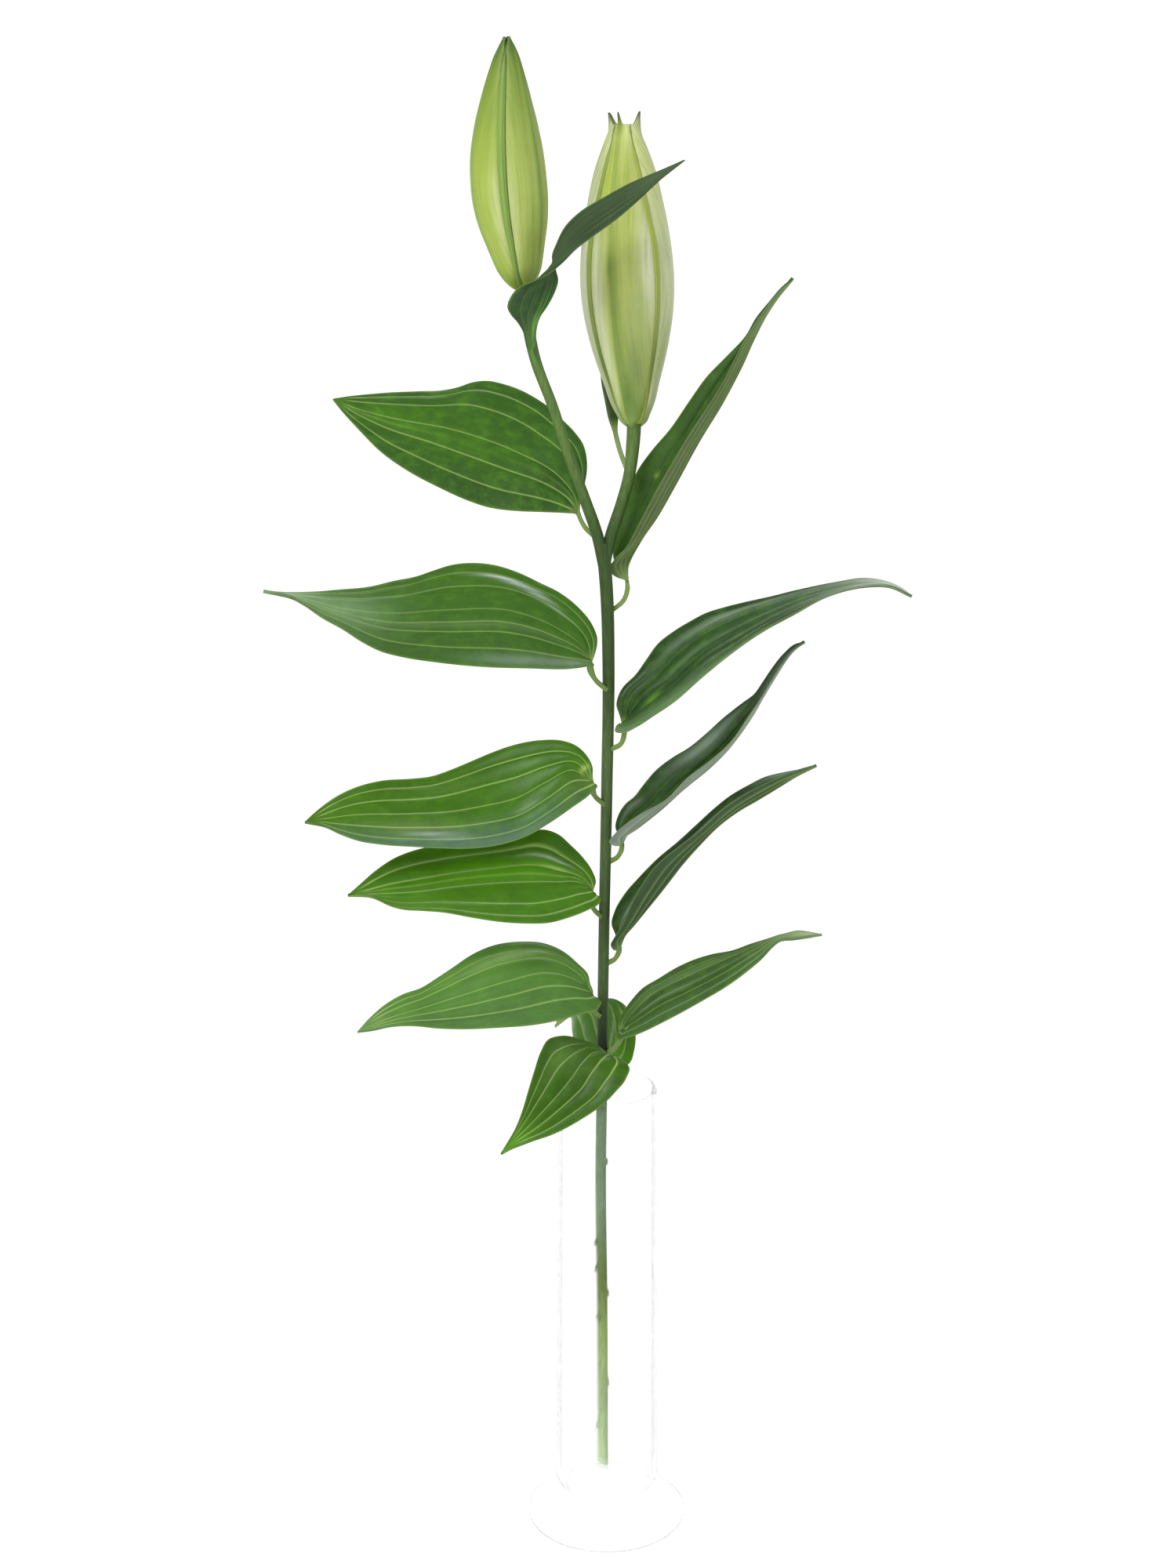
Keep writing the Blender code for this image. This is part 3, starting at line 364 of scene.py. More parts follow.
        "depth": ((-42, -31, -24, -20, -19, -19), (-43, -36, -30, -26, -22, -19),
            (-44, -43, -38, -31, -25, -19)),
        "veins": (-0.6, -0.3, 0, 0.3, 0.6), "green": "#384f25", "back": "#556d49",
        "patches": [],
        "waves": [],
    },
}
# What a leaf has where its own entry doesn't say
USUAL_LEAF = {"faint": (), "contrast": 0.4, "patchy": 0.3, "striped": (1, 0.9), "fold": 0.25,
    "flip": False, "stalk_width": 2.3, "pale": 1}
BLADE_ROWS = 96
STALK_ROWS = 10
# Half widths in mm of a vein's groove and of its line of colour, and the depth of side and faint
# veins as shares of the midrib's
GROOVE_WIDTH, LINE_WIDTH, SIDE_VEIN, FAINT_VEIN = 0.5, 0.24, 0.85, 0.3

# Buds: where each sits and ends, in mm, how far its middle bows out to the right, and its radius
# at shares of its length. "slits" are the angles in degrees, clockwise from the front, of the
# slits between outer tepals, and "ribs" those of their midribs. "slit" is a slit's width in mm, and
# "closing" how many degrees the slits draw in towards the front near the tip. "proud" is how far in
# mm the inner tepals stand out of them. "hook" draws each outer tepal's tip out in mm and
# "tip_rise" up by a share of the length, over a part of its width that "spike" gives, and "narrow"
# is how far the tip narrows. "outer" and "inner" give each tepal's colour, and "outer" its soft
# patches too: (share of length, share of half width, their spreads, strength, colour).
# "outer_patches" and "inner_patches" are on all three. "bright" scales the red, green and blue of
# them all, and "slot" holds a name for the finish.
BUDS = {
    "left_bud": {
        "base": (-39.6, -73, 666.6), "tip": (-45.5, -79, 775), "bow": -3.2, "bright": (0.83, 0.83, 0.74),
        "shares": (0, 0.012, 0.032, 0.069, 0.131, 0.194, 0.256, 0.319, 0.381, 0.444, 0.506, 0.569, 0.631,
            0.694, 0.756, 0.819, 0.881, 0.944, 0.975, 1),
        "radii": (3.3, 5, 6.9, 9.1, 11.3, 13.2, 15, 16.2, 16.8, 16.8, 16.5, 15.8, 14.6, 13.1, 11.3, 9.4,
            7.3, 4.8, 3.2, 1.4),
        "slits": (-127, -7, 113), "ribs": (-67, 53, 173), "closing": 0, "slit": 4.1, "proud": 0.75,
        "hook": 0.3, "tip_rise": 0.008, "spike": 0.6, "narrow": 0.25, "slot": "bud_green",
        # The two pale patches beside the slits, a third of the way up, are painted highlights.
        "outer_patches": [(0.33, 0.9, 0.2, 0.2, 0.95, "#d0da9a"), (0.33, -0.92, 0.22, 0.16, 0.9, "#ced896"),
            (0.5, 0, 0.6, 0.13, 0.8, "#86a34c"), (1, 0, 0.33, 2, 0.9, "#6a8a30"),
            (1, 0, 0.08, 2, 0.8, "#4f6e2c"), (0, 0, 0.1, 0.7, 0.7, "#7ea63a")],
        # The dark line on each inner tepal's right is painted shade in the slit beside the keel, and the
        # fainter one on its left is painted shade too.
        "inner_patches": [(0.5, 0.17, 0.8, 0.06, 0.8, "#56782e"), (0.5, -0.19, 0.8, 0.05, 0.5, "#6b8c3c"),
            (1, 0, 0.2, 2, 0.7, "#5f7a30")],
        "outer": [("#a8be4c", [(0.55, -0.45, 0.25, 0.3, 0.6, "#adc04a")]),
            ("#b2c465", [(0.55, 0.45, 0.4, 0.25, 0.6, "#a9c078"), (0.6, 0, 0.4, 0.04, 0.9, "#64883a")]),
            ("#a6b85a", [])],
        "inner": ["#8aab52", "#8aab52", "#8aab52"],
    },
    "right_bud": {
        "base": (11.3, -50.2, 601.8), "tip": (6.1, -46, 738.2), "bow": -0.8, "bright": (0.98, 0.98, 0.9),
        "shares": (0, 0.012, 0.039, 0.091, 0.143, 0.195, 0.247, 0.299, 0.351, 0.403, 0.4545, 0.506, 0.558,
            0.61, 0.662, 0.714, 0.766, 0.818, 0.87, 0.922, 0.974, 1),
        "radii": (3.8, 5.8, 7.7, 10.4, 12.4, 14.6, 16.7, 18.4, 19.8, 20.8, 21.3, 21.4, 21, 20.3, 19.3, 18,
            16.5, 14.9, 12.8, 10.1, 7.3, 5.8),
        "slits": (-56, 40, 172), "ribs": (-20, 104, -122), "closing": 14, "slit": 3.1, "proud": 0.6,
        "hook": 2.3, "tip_rise": 0.04, "spike": 0.2, "narrow": 0.08, "slot": "bud_pale",
        "outer_patches": [(0, 0, 0.07, 2, 0.75, "#7a9a48")],
        # The dark line on each inner tepal's left is painted shade at the slit's edge.
        "inner_patches": [(0.22, 0, 0.13, 2, 0.85, "#5a6a30"), (0.5, -0.19, 0.5, 0.05, 0.7, "#6d7c3c"),
            (0.38, 0, 0.08, 2, 0.4, "#78884a")],
        "outer": [("#aeb964", [(0.42, -0.72, 0.34, 0.34, 1, "#d6dabd"),
                (0.53, 0.88, 0.2, 0.26, 1, "#d0d4b8"), (0.2, 0.5, 0.16, 0.45, 0.95, "#788a4c"),
                (0.38, 0.55, 0.1, 0.3, 0.7, "#93a266"), (0.4, 0.03, 0.28, 0.12, 0.85, "#748c38"),
                (0.85, 0.02, 0.15, 0.13, 0.9, "#7a9a48"), (0.54, -0.05, 0.05, 0.13, 0.85, "#6c8433"),
                (0.84, -0.5, 0.12, 0.45, 0.9, "#a8bc42"), (0.86, 0.35, 0.14, 0.3, 0.8, "#a4b44a"),
                (0.97, 0.7, 0.06, 0.3, 0.8, "#c6d090"), (0.2, -0.6, 0.14, 0.25, 0.9, "#ccd8ac"),
                (0.1, 0.15, 0.1, 0.3, 0.9, "#557a2c"), (0.3, 0.03, 0.2, 0.14, 0.6, "#6f8a38"),
                (0.06, 0.5, 0.07, 0.6, 0.9, "#5f7c36")]),
            ("#c2c9a2", [(0.9, -0.7, 0.18, 0.5, 0.7, "#c2cd7e"), (0.25, -0.75, 0.14, 0.3, 0.7, "#97a968"),
                (0.4, 0, 0.4, 0.2, 0.5, "#b4c27e")]),
            # The whitish patch near this tepal's visible edge, past the middle, is painted light over the
            # shading at the tepal's left edge.
            ("#c0c7a2", [(0.9, 0.5, 0.18, 0.6, 0.6, "#b4c26a"), (0.15, 0.9, 0.12, 0.2, 0.6, "#a6b670"),
                (0.6, 0.88, 0.25, 0.3, 0.8, "#dde2c4"), (0.4, 0, 0.4, 0.2, 0.4, "#b4c27e")])],
        "inner": ["#9dab4c", "#90a44c", "#90a44c"],
    },
}
TEPAL_ROWS = 101
OUTER_COLUMNS = 45
INNER_COLUMNS = 41
# An inner tepal has this many rows fewer at each end
INNER_SHORTER = 3
# In mm: the outer tepals' thickness, how deep the inner ones lie under the buds' outside, and the
# inner ones' thickness
OUTER_THICKNESS, INNER_DEPTH, INNER_THICKNESS = 0.85, 1.4, 0.7
# An inner tepal reaches this many half widths of its slit to either side
INNER_REACH = 2.2
# Shares of the length where the inner tepals widen under the tips, and where they close the top
WIDEN_FROM, CLOSE_FROM = 0.9, 0.97

# Points from one given point of a smooth line to the next, and fewer on the plain stalks
LINE_STEPS = 14
STALK_LINE_STEPS = 10
# Shares are this many times larger while values along them are smoothed, so that the steps between
# shares, and not the values, set the spacing
SHARE_SCALE = 1000
# Edges sharper than these angles in degrees stay sharp, on full bodies and on leaves and tepals
BODY_EDGE = 55
SHEET_EDGE = 50

# Lights: softness in degrees, turn in degrees, and strength as a share of the key light's
SUNS = {
    "Large soft light from the left": (34, (38, -30, 0), 1),
    "Soft light from behind": (30, (-28, 14, 0), 0.45),
    "Soft fill from the front": (90, (62, 24, 0), 0.2),
}
# Half the floor's width in metres
FLOOR_REACH = 40

# Settings of the nodes that mix two colours or multiply them
MIX = {"data_type": "RGBA", "blend_type": "MIX", "clamp_factor": True}
MULTIPLY = {"data_type": "RGBA", "blend_type": "MULTIPLY", "clamp_factor": True}
# The numbers of those nodes' sockets for the share, the first and second colour, and the result
SHARE, FIRST, SECOND, RESULT = 0, 6, 7, 2
# Settings of the nodes that multiply two numbers, and add a third
TIMES = {"operation": "MULTIPLY"}
TIMES_PLUS = {"operation": "MULTIPLY_ADD"}


def linear(code):
    """A colour written as an sRGB hex code, as the linear colour that shaders use."""
    channels = [int(code[i:i + 2], 16) / 255 for i in (1, 3, 5)]
    return [c / 12.92 if c <= 0.04045 else ((c + 0.055) / 1.055) ** 2.4 for c in channels] + [1.0]


# Properties

def colour(name, about, code):
    return FloatVectorProperty(name=name, description=about, subtype="COLOR", size=4, min=0, max=1,
                               default=linear(code))


def brightness_of(what):
    return FloatProperty(name="Brightness", description=f"Share of the {what}' usual brightness",
                         default=1.0, min=0.5, max=1.5, subtype="FACTOR")


class LilyGlassSettings(bpy.types.PropertyGroup):
    tint: colour("Glass tint", "Colour of the clear glass", "#fdfefd")
    sides: IntProperty(name="Sides", description="Facets round the turned glass", default=128,
                       min=24, max=256)
    roughness: FloatProperty(name="Roughness", description="Roughness of the polished glass",
                             default=0.0, min=0, max=1, subtype="FACTOR")


class LilyStemSettings(bpy.types.PropertyGroup):
    top: colour("Bud stalks", "Colour of the stalks under the buds", "#5a763c")
    above: colour("Leafy part", "Colour of the stalk between its upper leaves", "#3c532a")
    middle: colour("Middle of the leafy part", "Colour of the stalk half way up its leaves", "#546b40")
    lower: colour("Lower leafy part", "Colour of the stalk between its lower leaves", "#485f37")
    shaded: colour("Shaded part", "Colour of the stalk under the lowest leaves", "#0f1b05")
    # The stalk's grey colour in the upper half of the glass is a painted reflection of the glass over it
    glass_reflection: colour("In the glass", "Colour of the stalk in the upper half of the glass", "#758d6c")
    olive: colour("Middle of the glass", "Colour of the stalk half way down the glass", "#607339")
    pale: colour("Pale olive part", "Colour of the stalk below the olive part", "#8a9f60")
    low: colour("Low in the glass", "Colour of the stalk low in the glass", "#99ad80")
    cut: colour("Cut end", "Colour of the stalk towards its cut end", "#b5cc9a")
    scar: colour("Leaf scars", "Colour of the scars of stripped leaves", "#37451f")
    thickness: FloatProperty(name="Thickness", description="Share of the stalk's usual thickness",
                             default=1.0, min=0.8, max=1.1, subtype="FACTOR")


class LilyLeafSettings(bpy.types.PropertyGroup):
    vein: colour("Veins", "Colour of a leaf's long veins", "#b6d67c")
    sunlit: colour("Sunlit spots", "Colour of the yellower spots between the veins", "#5a9418")
    edge: colour("Edges", "Colour of a blade's thin edge", "#7f9a4a")
    stalk: colour("Leaf stalks", "Colour of a leaf's short stalk", "#728c48")
    brightness: brightness_of("leaves")
    thickness: FloatProperty(name="Thickness", description="Thickness of a blade", default=0.5 * MM,
                             min=0.3 * MM, max=1.0 * MM, unit="LENGTH")
    vein_depth: FloatProperty(name="Vein depth", description="Depth of the long veins",
                              default=0.25 * MM, min=0, max=0.5 * MM, unit="LENGTH")
    roundness: FloatProperty(name="Roundness", description="Rise of the blade between two veins",
                             default=0.55 * MM, min=0, max=1.0 * MM, unit="LENGTH")


class LilyBudSettings(bpy.types.PropertyGroup):
    brightness: brightness_of("buds")
    veins: colour("Fine veins", "Colour of the faint lengthwise veins", "#8aa64a")
    knob: colour("Tips", "Colour of the hard tips", "#4d6030")
    grain: FloatProperty(name="Grain", description="Depth of the fine lengthwise grain",
                         default=0.05 * MM, min=0, max=0.3 * MM, unit="LENGTH")


class LilyStageSettings(bpy.types.PropertyGroup):
    floor: colour("Floor", "Colour of the plain glowing floor", "#fdfdfd")
    glow: FloatProperty(name="Glow", description="Strength of the floor's own light", default=0.86,
                        min=0, max=2)
    sky: FloatProperty(name="Surroundings", description="Strength of the even light all round",
                       default=0.4, min=0, max=2)
    key: FloatProperty(name="Key light", description="Strength of the large soft light above",
                       default=1.9, min=0, max=10)


# Shape helpers

def unit(vectors):
    """The vectors at a length of 1."""
    return vectors / np.maximum(np.linalg.norm(vectors, axis=-1, keepdims=True), 1e-12)


def rise(value, start, end):
    """0 before start and 1 after end, with a soft change between them."""
    share = np.clip((value - start) / (end - start), 0, 1)
    return share * share * (3 - 2 * share)


def bell(value, middle, width):
    """1 at the middle, falling softly to 0 on both sides."""
    return np.exp(-((value - middle) / width) ** 2)


def spot(share, across, at, side, spread, width):
    """1 at a place on a leaf or tepal, falling softly to 0 around it."""
    return np.exp(-((share - at) / spread) ** 2 - ((across - side) / width) ** 2)


def seen_at(across, down, back):
    """The place in space of a pixel of the picture that stands this many mm back, along +Y."""
    focal = LENS / FILM * PICTURE[1]
    right, up = (across - PICTURE[0] / 2) / focal, (PICTURE[1] / 2 - down) / focal
    ray = np.stack([right, math.cos(VIEW_DOWN) + up * math.sin(VIEW_DOWN),
                    up * math.cos(VIEW_DOWN) - math.sin(VIEW_DOWN)], -1)
    return VIEW_PLACE + ray * ((back * MM - VIEW_PLACE[1]) / ray[..., 1])[..., None]


def run_of(line):
    """The length along a line from its start to each of its points."""
    return np.r_[0, np.cumsum(np.linalg.norm(np.diff(line, axis=0), axis=1))]


def smooth_line(points, steps=LINE_STEPS):
    """A close row of points on a smooth line through the given ones, and its run at each."""
    points = np.asarray(points, float)
    knots = run_of(points)
    slopes = np.gradient(points, knots, axis=0)
    lines = []
    for i in range(len(points) - 1):
        gap = knots[i + 1] - knots[i]
        share = np.linspace(0, 1, steps, endpoint=i == len(points) - 2)[:, None]
        square, cube = share ** 2, share ** 3
        lines.append((2 * cube - 3 * square + 1) * points[i] + (cube - 2 * square + share) * gap * slopes[i]
                     + (3 * square - 2 * cube) * points[i + 1] + (cube - square) * gap * slopes[i + 1])
    line = np.concatenate(lines)
    return line, run_of(line)


def along_line(line, run, places):
    """The points of a line at these places of its run."""
    return np.stack([np.interp(places, run, line[:, i]) for i in range(line.shape[1])], -1)


def smoothly(shares, values, places):
    """Values given at shares from 0 to 1, read smoothly at other shares."""
    line, _ = smooth_line(np.stack([np.asarray(shares) * SHARE_SCALE, values], -1))
    return np.interp(places * SHARE_SCALE, line[:, 0], line[:, 1])


def painted(code, patches, share, across):
    """A colour over a grid of shares, with its soft patches of other colours."""
    tint = np.array(linear(code)[:3]) + 0 * (share + across)[..., None]
    for *place, strength, other in patches:
        cover = strength * spot(share, across, *place)[..., None]
        tint = tint * (1 - cover) + np.array(linear(other)[:3]) * cover
    return tint


def placed(name, data):
    """A new object in the scene."""
    made = bpy.data.objects.new(name, data)
    bpy.context.scene.collection.objects.link(made)
    return made


def line_object(name, points):
    """A mesh of edges from point to point, as the carrier of a modifier."""
    mesh = bpy.data.meshes.new(name)
    mesh.from_pydata(points, [(i, i + 1) for i in range(len(points) - 1)], [])
    return placed(name, mesh)


def as_mesh(carrier, name):
    """Turns what a carrier's modifiers make into a plain mesh and removes the carrier."""
    bpy.context.view_layer.update()
    shown = carrier.evaluated_get(bpy.context.evaluated_depsgraph_get())
    mesh = bpy.data.meshes.new_from_object(shown)
    mesh.name = name
    bpy.data.objects.remove(carrier)
    return placed(name, mesh)


def smoothed(mesh, angle):
    """Shades a mesh smooth, apart from edges sharper than the angle in degrees."""
    mesh.shade_smooth()
    mesh.set_sharp_from_angle(angle=math.radians(angle))


def finished(mesh_object, material, nodes):
    """Gives a piece its material and its place in the frame."""
    mesh_object.data.materials.clear()
    mesh_object.data.materials.append(material)
    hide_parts(*nodes)
    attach(mesh_object, "root")


def skin(name, upper, lower, values, tints, turned):
    """A closed thin body between two grids of points, with colours and values at its points. A value
    is one for both grids, or a pair. A turned one has its columns in the other order, which turns
    its faces over, so that they point outwards."""
    rows, columns = upper.shape[:2]
    way = -1 if turned else 1
    count = rows * columns
    index = np.arange(count).reshape(rows, columns)
    quads = np.stack([index[:-1, :-1], index[1:, :-1], index[1:, 1:], index[:-1, 1:]], -1).reshape(-1, 4)
    edge = np.concatenate([index[0, :-1], index[:-1, -1], index[-1, :0:-1], index[:0:-1, 0]])
    after = np.roll(edge, -1)
    rim = np.stack([edge, after, after + count, edge + count], -1)
    faces = np.concatenate([quads, quads[:, ::-1] + count, rim])
    points, colours = (np.concatenate([grid[:, ::way].reshape(-1, 3) for grid in pair])
                       for pair in ((upper, lower), tints))
    mesh = bpy.data.meshes.new(name)
    mesh.from_pydata(points.tolist(), [], faces.tolist())
    for key, value in values.items():
        pair = value if isinstance(value, tuple) else (value, value)
        flat = [np.broadcast_to(v, (rows, columns))[:, ::way].ravel() for v in pair]
        layer = mesh.attributes.new(key, "FLOAT", "POINT")
        layer.data.foreach_set("value", np.concatenate(flat).astype(np.float32))
    layer = mesh.attributes.new("tint", "FLOAT_COLOR", "POINT")
    layer.data.foreach_set("color", np.c_[colours, np.ones(len(colours))].astype(np.float32).ravel())
    smoothed(mesh, SHEET_EDGE)
    return placed(name, mesh)


# Materials

def add(tree, kind, settings=None, inputs=None):
    """Adds a node with its settings. An input is a value, an output to link, or a node, whose first
    output is linked."""
    node = tree.nodes.new(kind)
    for key, value in (settings or {}).items():
        setattr(node, key, value)
    for key, value in (inputs or {}).items():
        if isinstance(value, bpy.types.Node):
            value = value.outputs[0]
        if isinstance(value, bpy.types.NodeSocket):
            tree.links.new(value, node.inputs[key])
        else:
            node.inputs[key].default_value = value
    return node


def node_material(name):
    """An empty node material and its tree."""
    made = bpy.data.materials.new(name)
    made.use_nodes = True
    made.node_tree.nodes.clear()
    return made, made.node_tree


def streaks(tree, given, width, length, detail=2.0):
    """Fine lines that run lengthwise: noise on the surface's own mm, drawn out along it."""
    place = add(tree, "ShaderNodeCombineXYZ", inputs={
        0: add(tree, "ShaderNodeMath", {"operation": "DIVIDE"}, {0: given["across"], 1: width}),
        1: add(tree, "ShaderNodeMath", {"operation": "DIVIDE"}, {0: given["along"], 1: length})})
    return add(tree, "ShaderNodeTexNoise", inputs={
        "Vector": place, "Scale": 1.0, "Detail": detail, "Roughness": 0.6})


def mottle(tree, size):
    """Soft irregular spots of this size in mm, fixed to the object."""
    place = add(tree, "ShaderNodeTexCoord").outputs["Object"]
    return add(tree, "ShaderNodeTexNoise", inputs={
        "Vector": place, "Scale": 1 / (size * MM), "Detail": 3.0, "Roughness": 0.55})


def toned(tree, paint, tone):
    """A paint that a grey tone darkens or lightens."""
    grey = add(tree, "ShaderNodeCombineColor", inputs={0: tone, 1: tone, 2: tone})
    return add(tree, "ShaderNodeMix", MULTIPLY, {SHARE: 1.0, FIRST: paint, SECOND: grey}).outputs[RESULT]


def glass_material(settings):
    # Soda-lime glass, blown and polished: clear, seen only where it bends and mirrors the light.
    # Real glass has an IOR of about 1.5. 1.1 and an alpha of 0.7 bend and mirror less, so that the
    # thin walls hardly show, as in the photograph.
    made, tree = node_material("Clear soda-lime glass, polished")
    shader = add(tree, "ShaderNodeBsdfPrincipled", inputs={
        "Base Color": settings.tint, "Roughness": settings.roughness, "IOR": 1.1,
        "Transmission Weight": 1.0, "Alpha": 0.7})
    add(tree, "ShaderNodeOutputMaterial", inputs={0: shader})
    return made


def leaf_material(settings):
    # Living lily leaf, with a coat of wax: a smooth green skin with a soft gloss, sunk lighter veins
    # and a duller, paler underside
    made, tree = node_material("Living lily leaf, waxy")
    given = {name: add(tree, "ShaderNodeAttribute", {"attribute_name": name}).outputs["Fac"] for name in
             ("across", "along", "under", "vein", "patchy", "striped", "contrast", "edge", "pale")}
    tint = add(tree, "ShaderNodeAttribute", {"attribute_name": "tint"}).outputs["Color"]
    # Fibres: real ones are 0.5 mm apart, which is too fine to show, so these are 1 mm apart
    fibres = streaks(tree, given, width=1.0, length=24.0)
    # Yellower spots 5 mm wide and 8 mm long
    spots = add(tree, "ShaderNodeMapRange", inputs={
        "Value": streaks(tree, given, width=5.0, length=8.0, detail=4.0),
        "From Min": 0.46, "From Max": 0.72, "To Min": 0.0, "To Max": 0.7})
    sunlit = add(tree, "ShaderNodeMath", TIMES, {0: spots, 1: given["patchy"]})
    # Darker and lighter clouds 11 mm across, and the fibres over them
    cloud = add(tree, "ShaderNodeMath", TIMES_PLUS, {0: mottle(tree, 11.0), 1: 0.5, 2: 0.75})
    centred = add(tree, "ShaderNodeMath", {"operation": "SUBTRACT"}, {0: fibres, 1: 0.5})
    tone = add(tree, "ShaderNodeMath", TIMES_PLUS, {0: centred, 1: given["striped"], 2: cloud})
    paint = add(tree, "ShaderNodeMix", MIX, {SHARE: sunlit, FIRST: tint, SECOND: settings.sunlit})
    paint = toned(tree, paint.outputs[RESULT], tone)
    veined = add(tree, "ShaderNodeMath", TIMES, {0: given["vein"], 1: given["contrast"]})
    layers = (veined, settings.vein), (given["edge"], settings.edge), (given["pale"], settings.stalk)
    for share, over in layers:
        paint = add(tree, "ShaderNodeMix", MIX, {SHARE: share, FIRST: paint, SECOND: over}).outputs[RESULT]
    relief = add(tree, "ShaderNodeBump", inputs={"Strength": 0.5, "Distance": 0.12 * MM, "Height": fibres})
    # The gloss changes in clouds 7 mm across, and the underside is duller
    dull = add(tree, "ShaderNodeMath", TIMES_PLUS, {0: given["under"], 1: 0.8, 2: mottle(tree, 7.0)})
    gloss = add(tree, "ShaderNodeMapRange", inputs={
        "Value": dull, "From Min": 0.3, "From Max": 1.2, "To Min": 0.27, "To Max": 0.6})
    shader = add(tree, "ShaderNodeBsdfPrincipled", inputs={
        "Base Color": paint, "Roughness": gloss, "IOR": 1.4, "Specular IOR Level": 0.3,
        "Normal": relief})
    add(tree, "ShaderNodeOutputMaterial", inputs={0: shader})
    return made


def stem_material(settings):
    # Living lily stalk, matt: a dull green skin with lengthwise fibres, paler towards the cut end
    made, tree = node_material("Living lily stalk, matt")
    place = add(tree, "ShaderNodeTexCoord").outputs["Object"]
    height = add(tree, "ShaderNodeSeparateXYZ", inputs={0: place}).outputs[2]
    share = add(tree, "ShaderNodeMapRange", inputs={"Value": height, "From Min": 0.0, "From Max": 0.6})
    ramp = add(tree, "ShaderNodeValToRGB", inputs={0: share})
    # Colours at shares of the lowest 600 mm. The stops in the upper half of the glass are greyed by a
    # painted reflection of the glass, and the shaded ones are painted shade under the lowest leaves.
    stops = [(0.04, settings.cut), (0.1, settings.low), (0.175, settings.pale), (0.235, settings.olive),
             (0.31, settings.glass_reflection), (0.405, settings.glass_reflection), (0.43, settings.shaded),
             (0.47, settings.shaded), (0.53, settings.lower), (0.64, settings.lower),
             (0.71, settings.middle), (0.8, settings.above), (0.92, settings.above), (0.98, settings.top)]
    for i, (where, tone) in enumerate(stops):
        stop = ramp.color_ramp.elements[i] if i < 2 else ramp.color_ramp.elements.new(where)
        stop.position, stop.color = where, tone
    # Fibres 0.8 mm apart and about 20 mm long, read on the upright axis
    stretch = add(tree, "ShaderNodeMapping", inputs={
        "Vector": place, "Scale": (1 / (0.8 * MM), 1 / (0.8 * MM), 1 / (20 * MM))})
    fibres = add(tree, "ShaderNodeTexNoise", inputs={"Vector": stretch, "Scale": 1.0, "Detail": 2.0})
    tone = add(tree, "ShaderNodeMapRange", inputs={
        "Value": fibres, "From Min": 0.25, "From Max": 0.75, "To Min": 0.72, "To Max": 1.22})
    scar = add(tree, "ShaderNodeAttribute", {"attribute_name": "scar"}).outputs["Fac"]
    paint = add(tree, "ShaderNodeMix", MIX, {
        SHARE: scar, FIRST: toned(tree, ramp, tone), SECOND: settings.scar})
    relief = add(tree, "ShaderNodeBump", inputs={"Strength": 0.4, "Distance": 0.15 * MM, "Height": fibres})
    shader = add(tree, "ShaderNodeBsdfPrincipled", inputs={
        "Base Color": paint.outputs[RESULT], "Roughness": 0.5, "IOR": 1.42, "Specular IOR Level": 0.2,
        "Normal": relief})
    add(tree, "ShaderNodeOutputMaterial", inputs={0: shader})
    return made


def bud_material(settings, name):
    # Living lily tepal, satin: a fleshy skin with a soft sheen and a fine lengthwise grain
    made, tree = node_material(name)
    given = {name: add(tree, "ShaderNodeAttribute", {"attribute_name": name}).outputs["Fac"]
             for name in ("across", "along", "knob")}
    tint = add(tree, "ShaderNodeAttribute", {"attribute_name": "tint"}).outputs["Color"]
    # Grain 0.8 mm apart and 30 mm long, and faint veins 3 mm apart and 50 mm long
    grain = streaks(tree, given, width=0.8, length=30.0)
    veins = add(tree, "ShaderNodeMapRange", inputs={
        "Value": streaks(tree, given, width=3.0, length=50.0, detail=1.0),
        "From Min": 0.45, "From Max": 0.75, "To Min": 0.0, "To Max": 0.4})
    # Darker and lighter clouds 8 mm across, and the grain over them
    cloud = add(tree, "ShaderNodeMath", TIMES_PLUS, {0: mottle(tree, 8.0), 1: 0.2, 2: 0.9})
    centred = add(tree, "ShaderNodeMath", {"operation": "SUBTRACT"}, {0: grain, 1: 0.5})
    tone = add(tree, "ShaderNodeMath", TIMES_PLUS, {0: centred, 1: 0.45, 2: cloud})
    paint = add(tree, "ShaderNodeMix", MIX, {SHARE: veins, FIRST: tint, SECOND: settings.veins})
    paint = toned(tree, paint.outputs[RESULT], tone)
    paint = add(tree, "ShaderNodeMix", MIX, {SHARE: given["knob"], FIRST: paint, SECOND: settings.knob})
    relief = add(tree, "ShaderNodeBump", inputs={
        "Strength": 0.6, "Distance": settings.grain * 3, "Height": grain})
    shader = add(tree, "ShaderNodeBsdfPrincipled", inputs={
        "Base Color": paint.outputs[RESULT], "Roughness": 0.42, "IOR": 1.4, "Normal": relief,
        "Subsurface Weight": 0.08, "Subsurface Radius": (1.0, 1.0, 0.4), "Subsurface Scale": 1.5 * MM})
    add(tree, "ShaderNodeOutputMaterial", inputs={0: shader})
    return made


# Glass

def make_vase(settings):
    outline = FOOT_UNDERSIDE + NECK_BLEND + WALL_OUTSIDE + RIM + WALL_INSIDE
    carrier = line_object("glass profile", [(out * MM, 0.0, up * MM) for out, up in outline])
    turn = carrier.modifiers.new("Turn", "SCREW")
    turn.steps = turn.render_steps = settings.sides
    turn.use_merge_vertices = True
    turn.merge_threshold = 0.01 * MM
    turn.use_normal_calculate = True
    turn.use_smooth_shade = True
    vase = as_mesh(carrier, "vase")
    shape = bmesh.new()
    shape.from_mesh(vase.data)
    bmesh.ops.recalc_face_normals(shape, faces=shape.faces)
    shape.to_mesh(vase.data)
    shape.free()
    smoothed(vase.data, BODY_EDGE)
    finished(vase, glass_material(settings), ["glass_vase"])


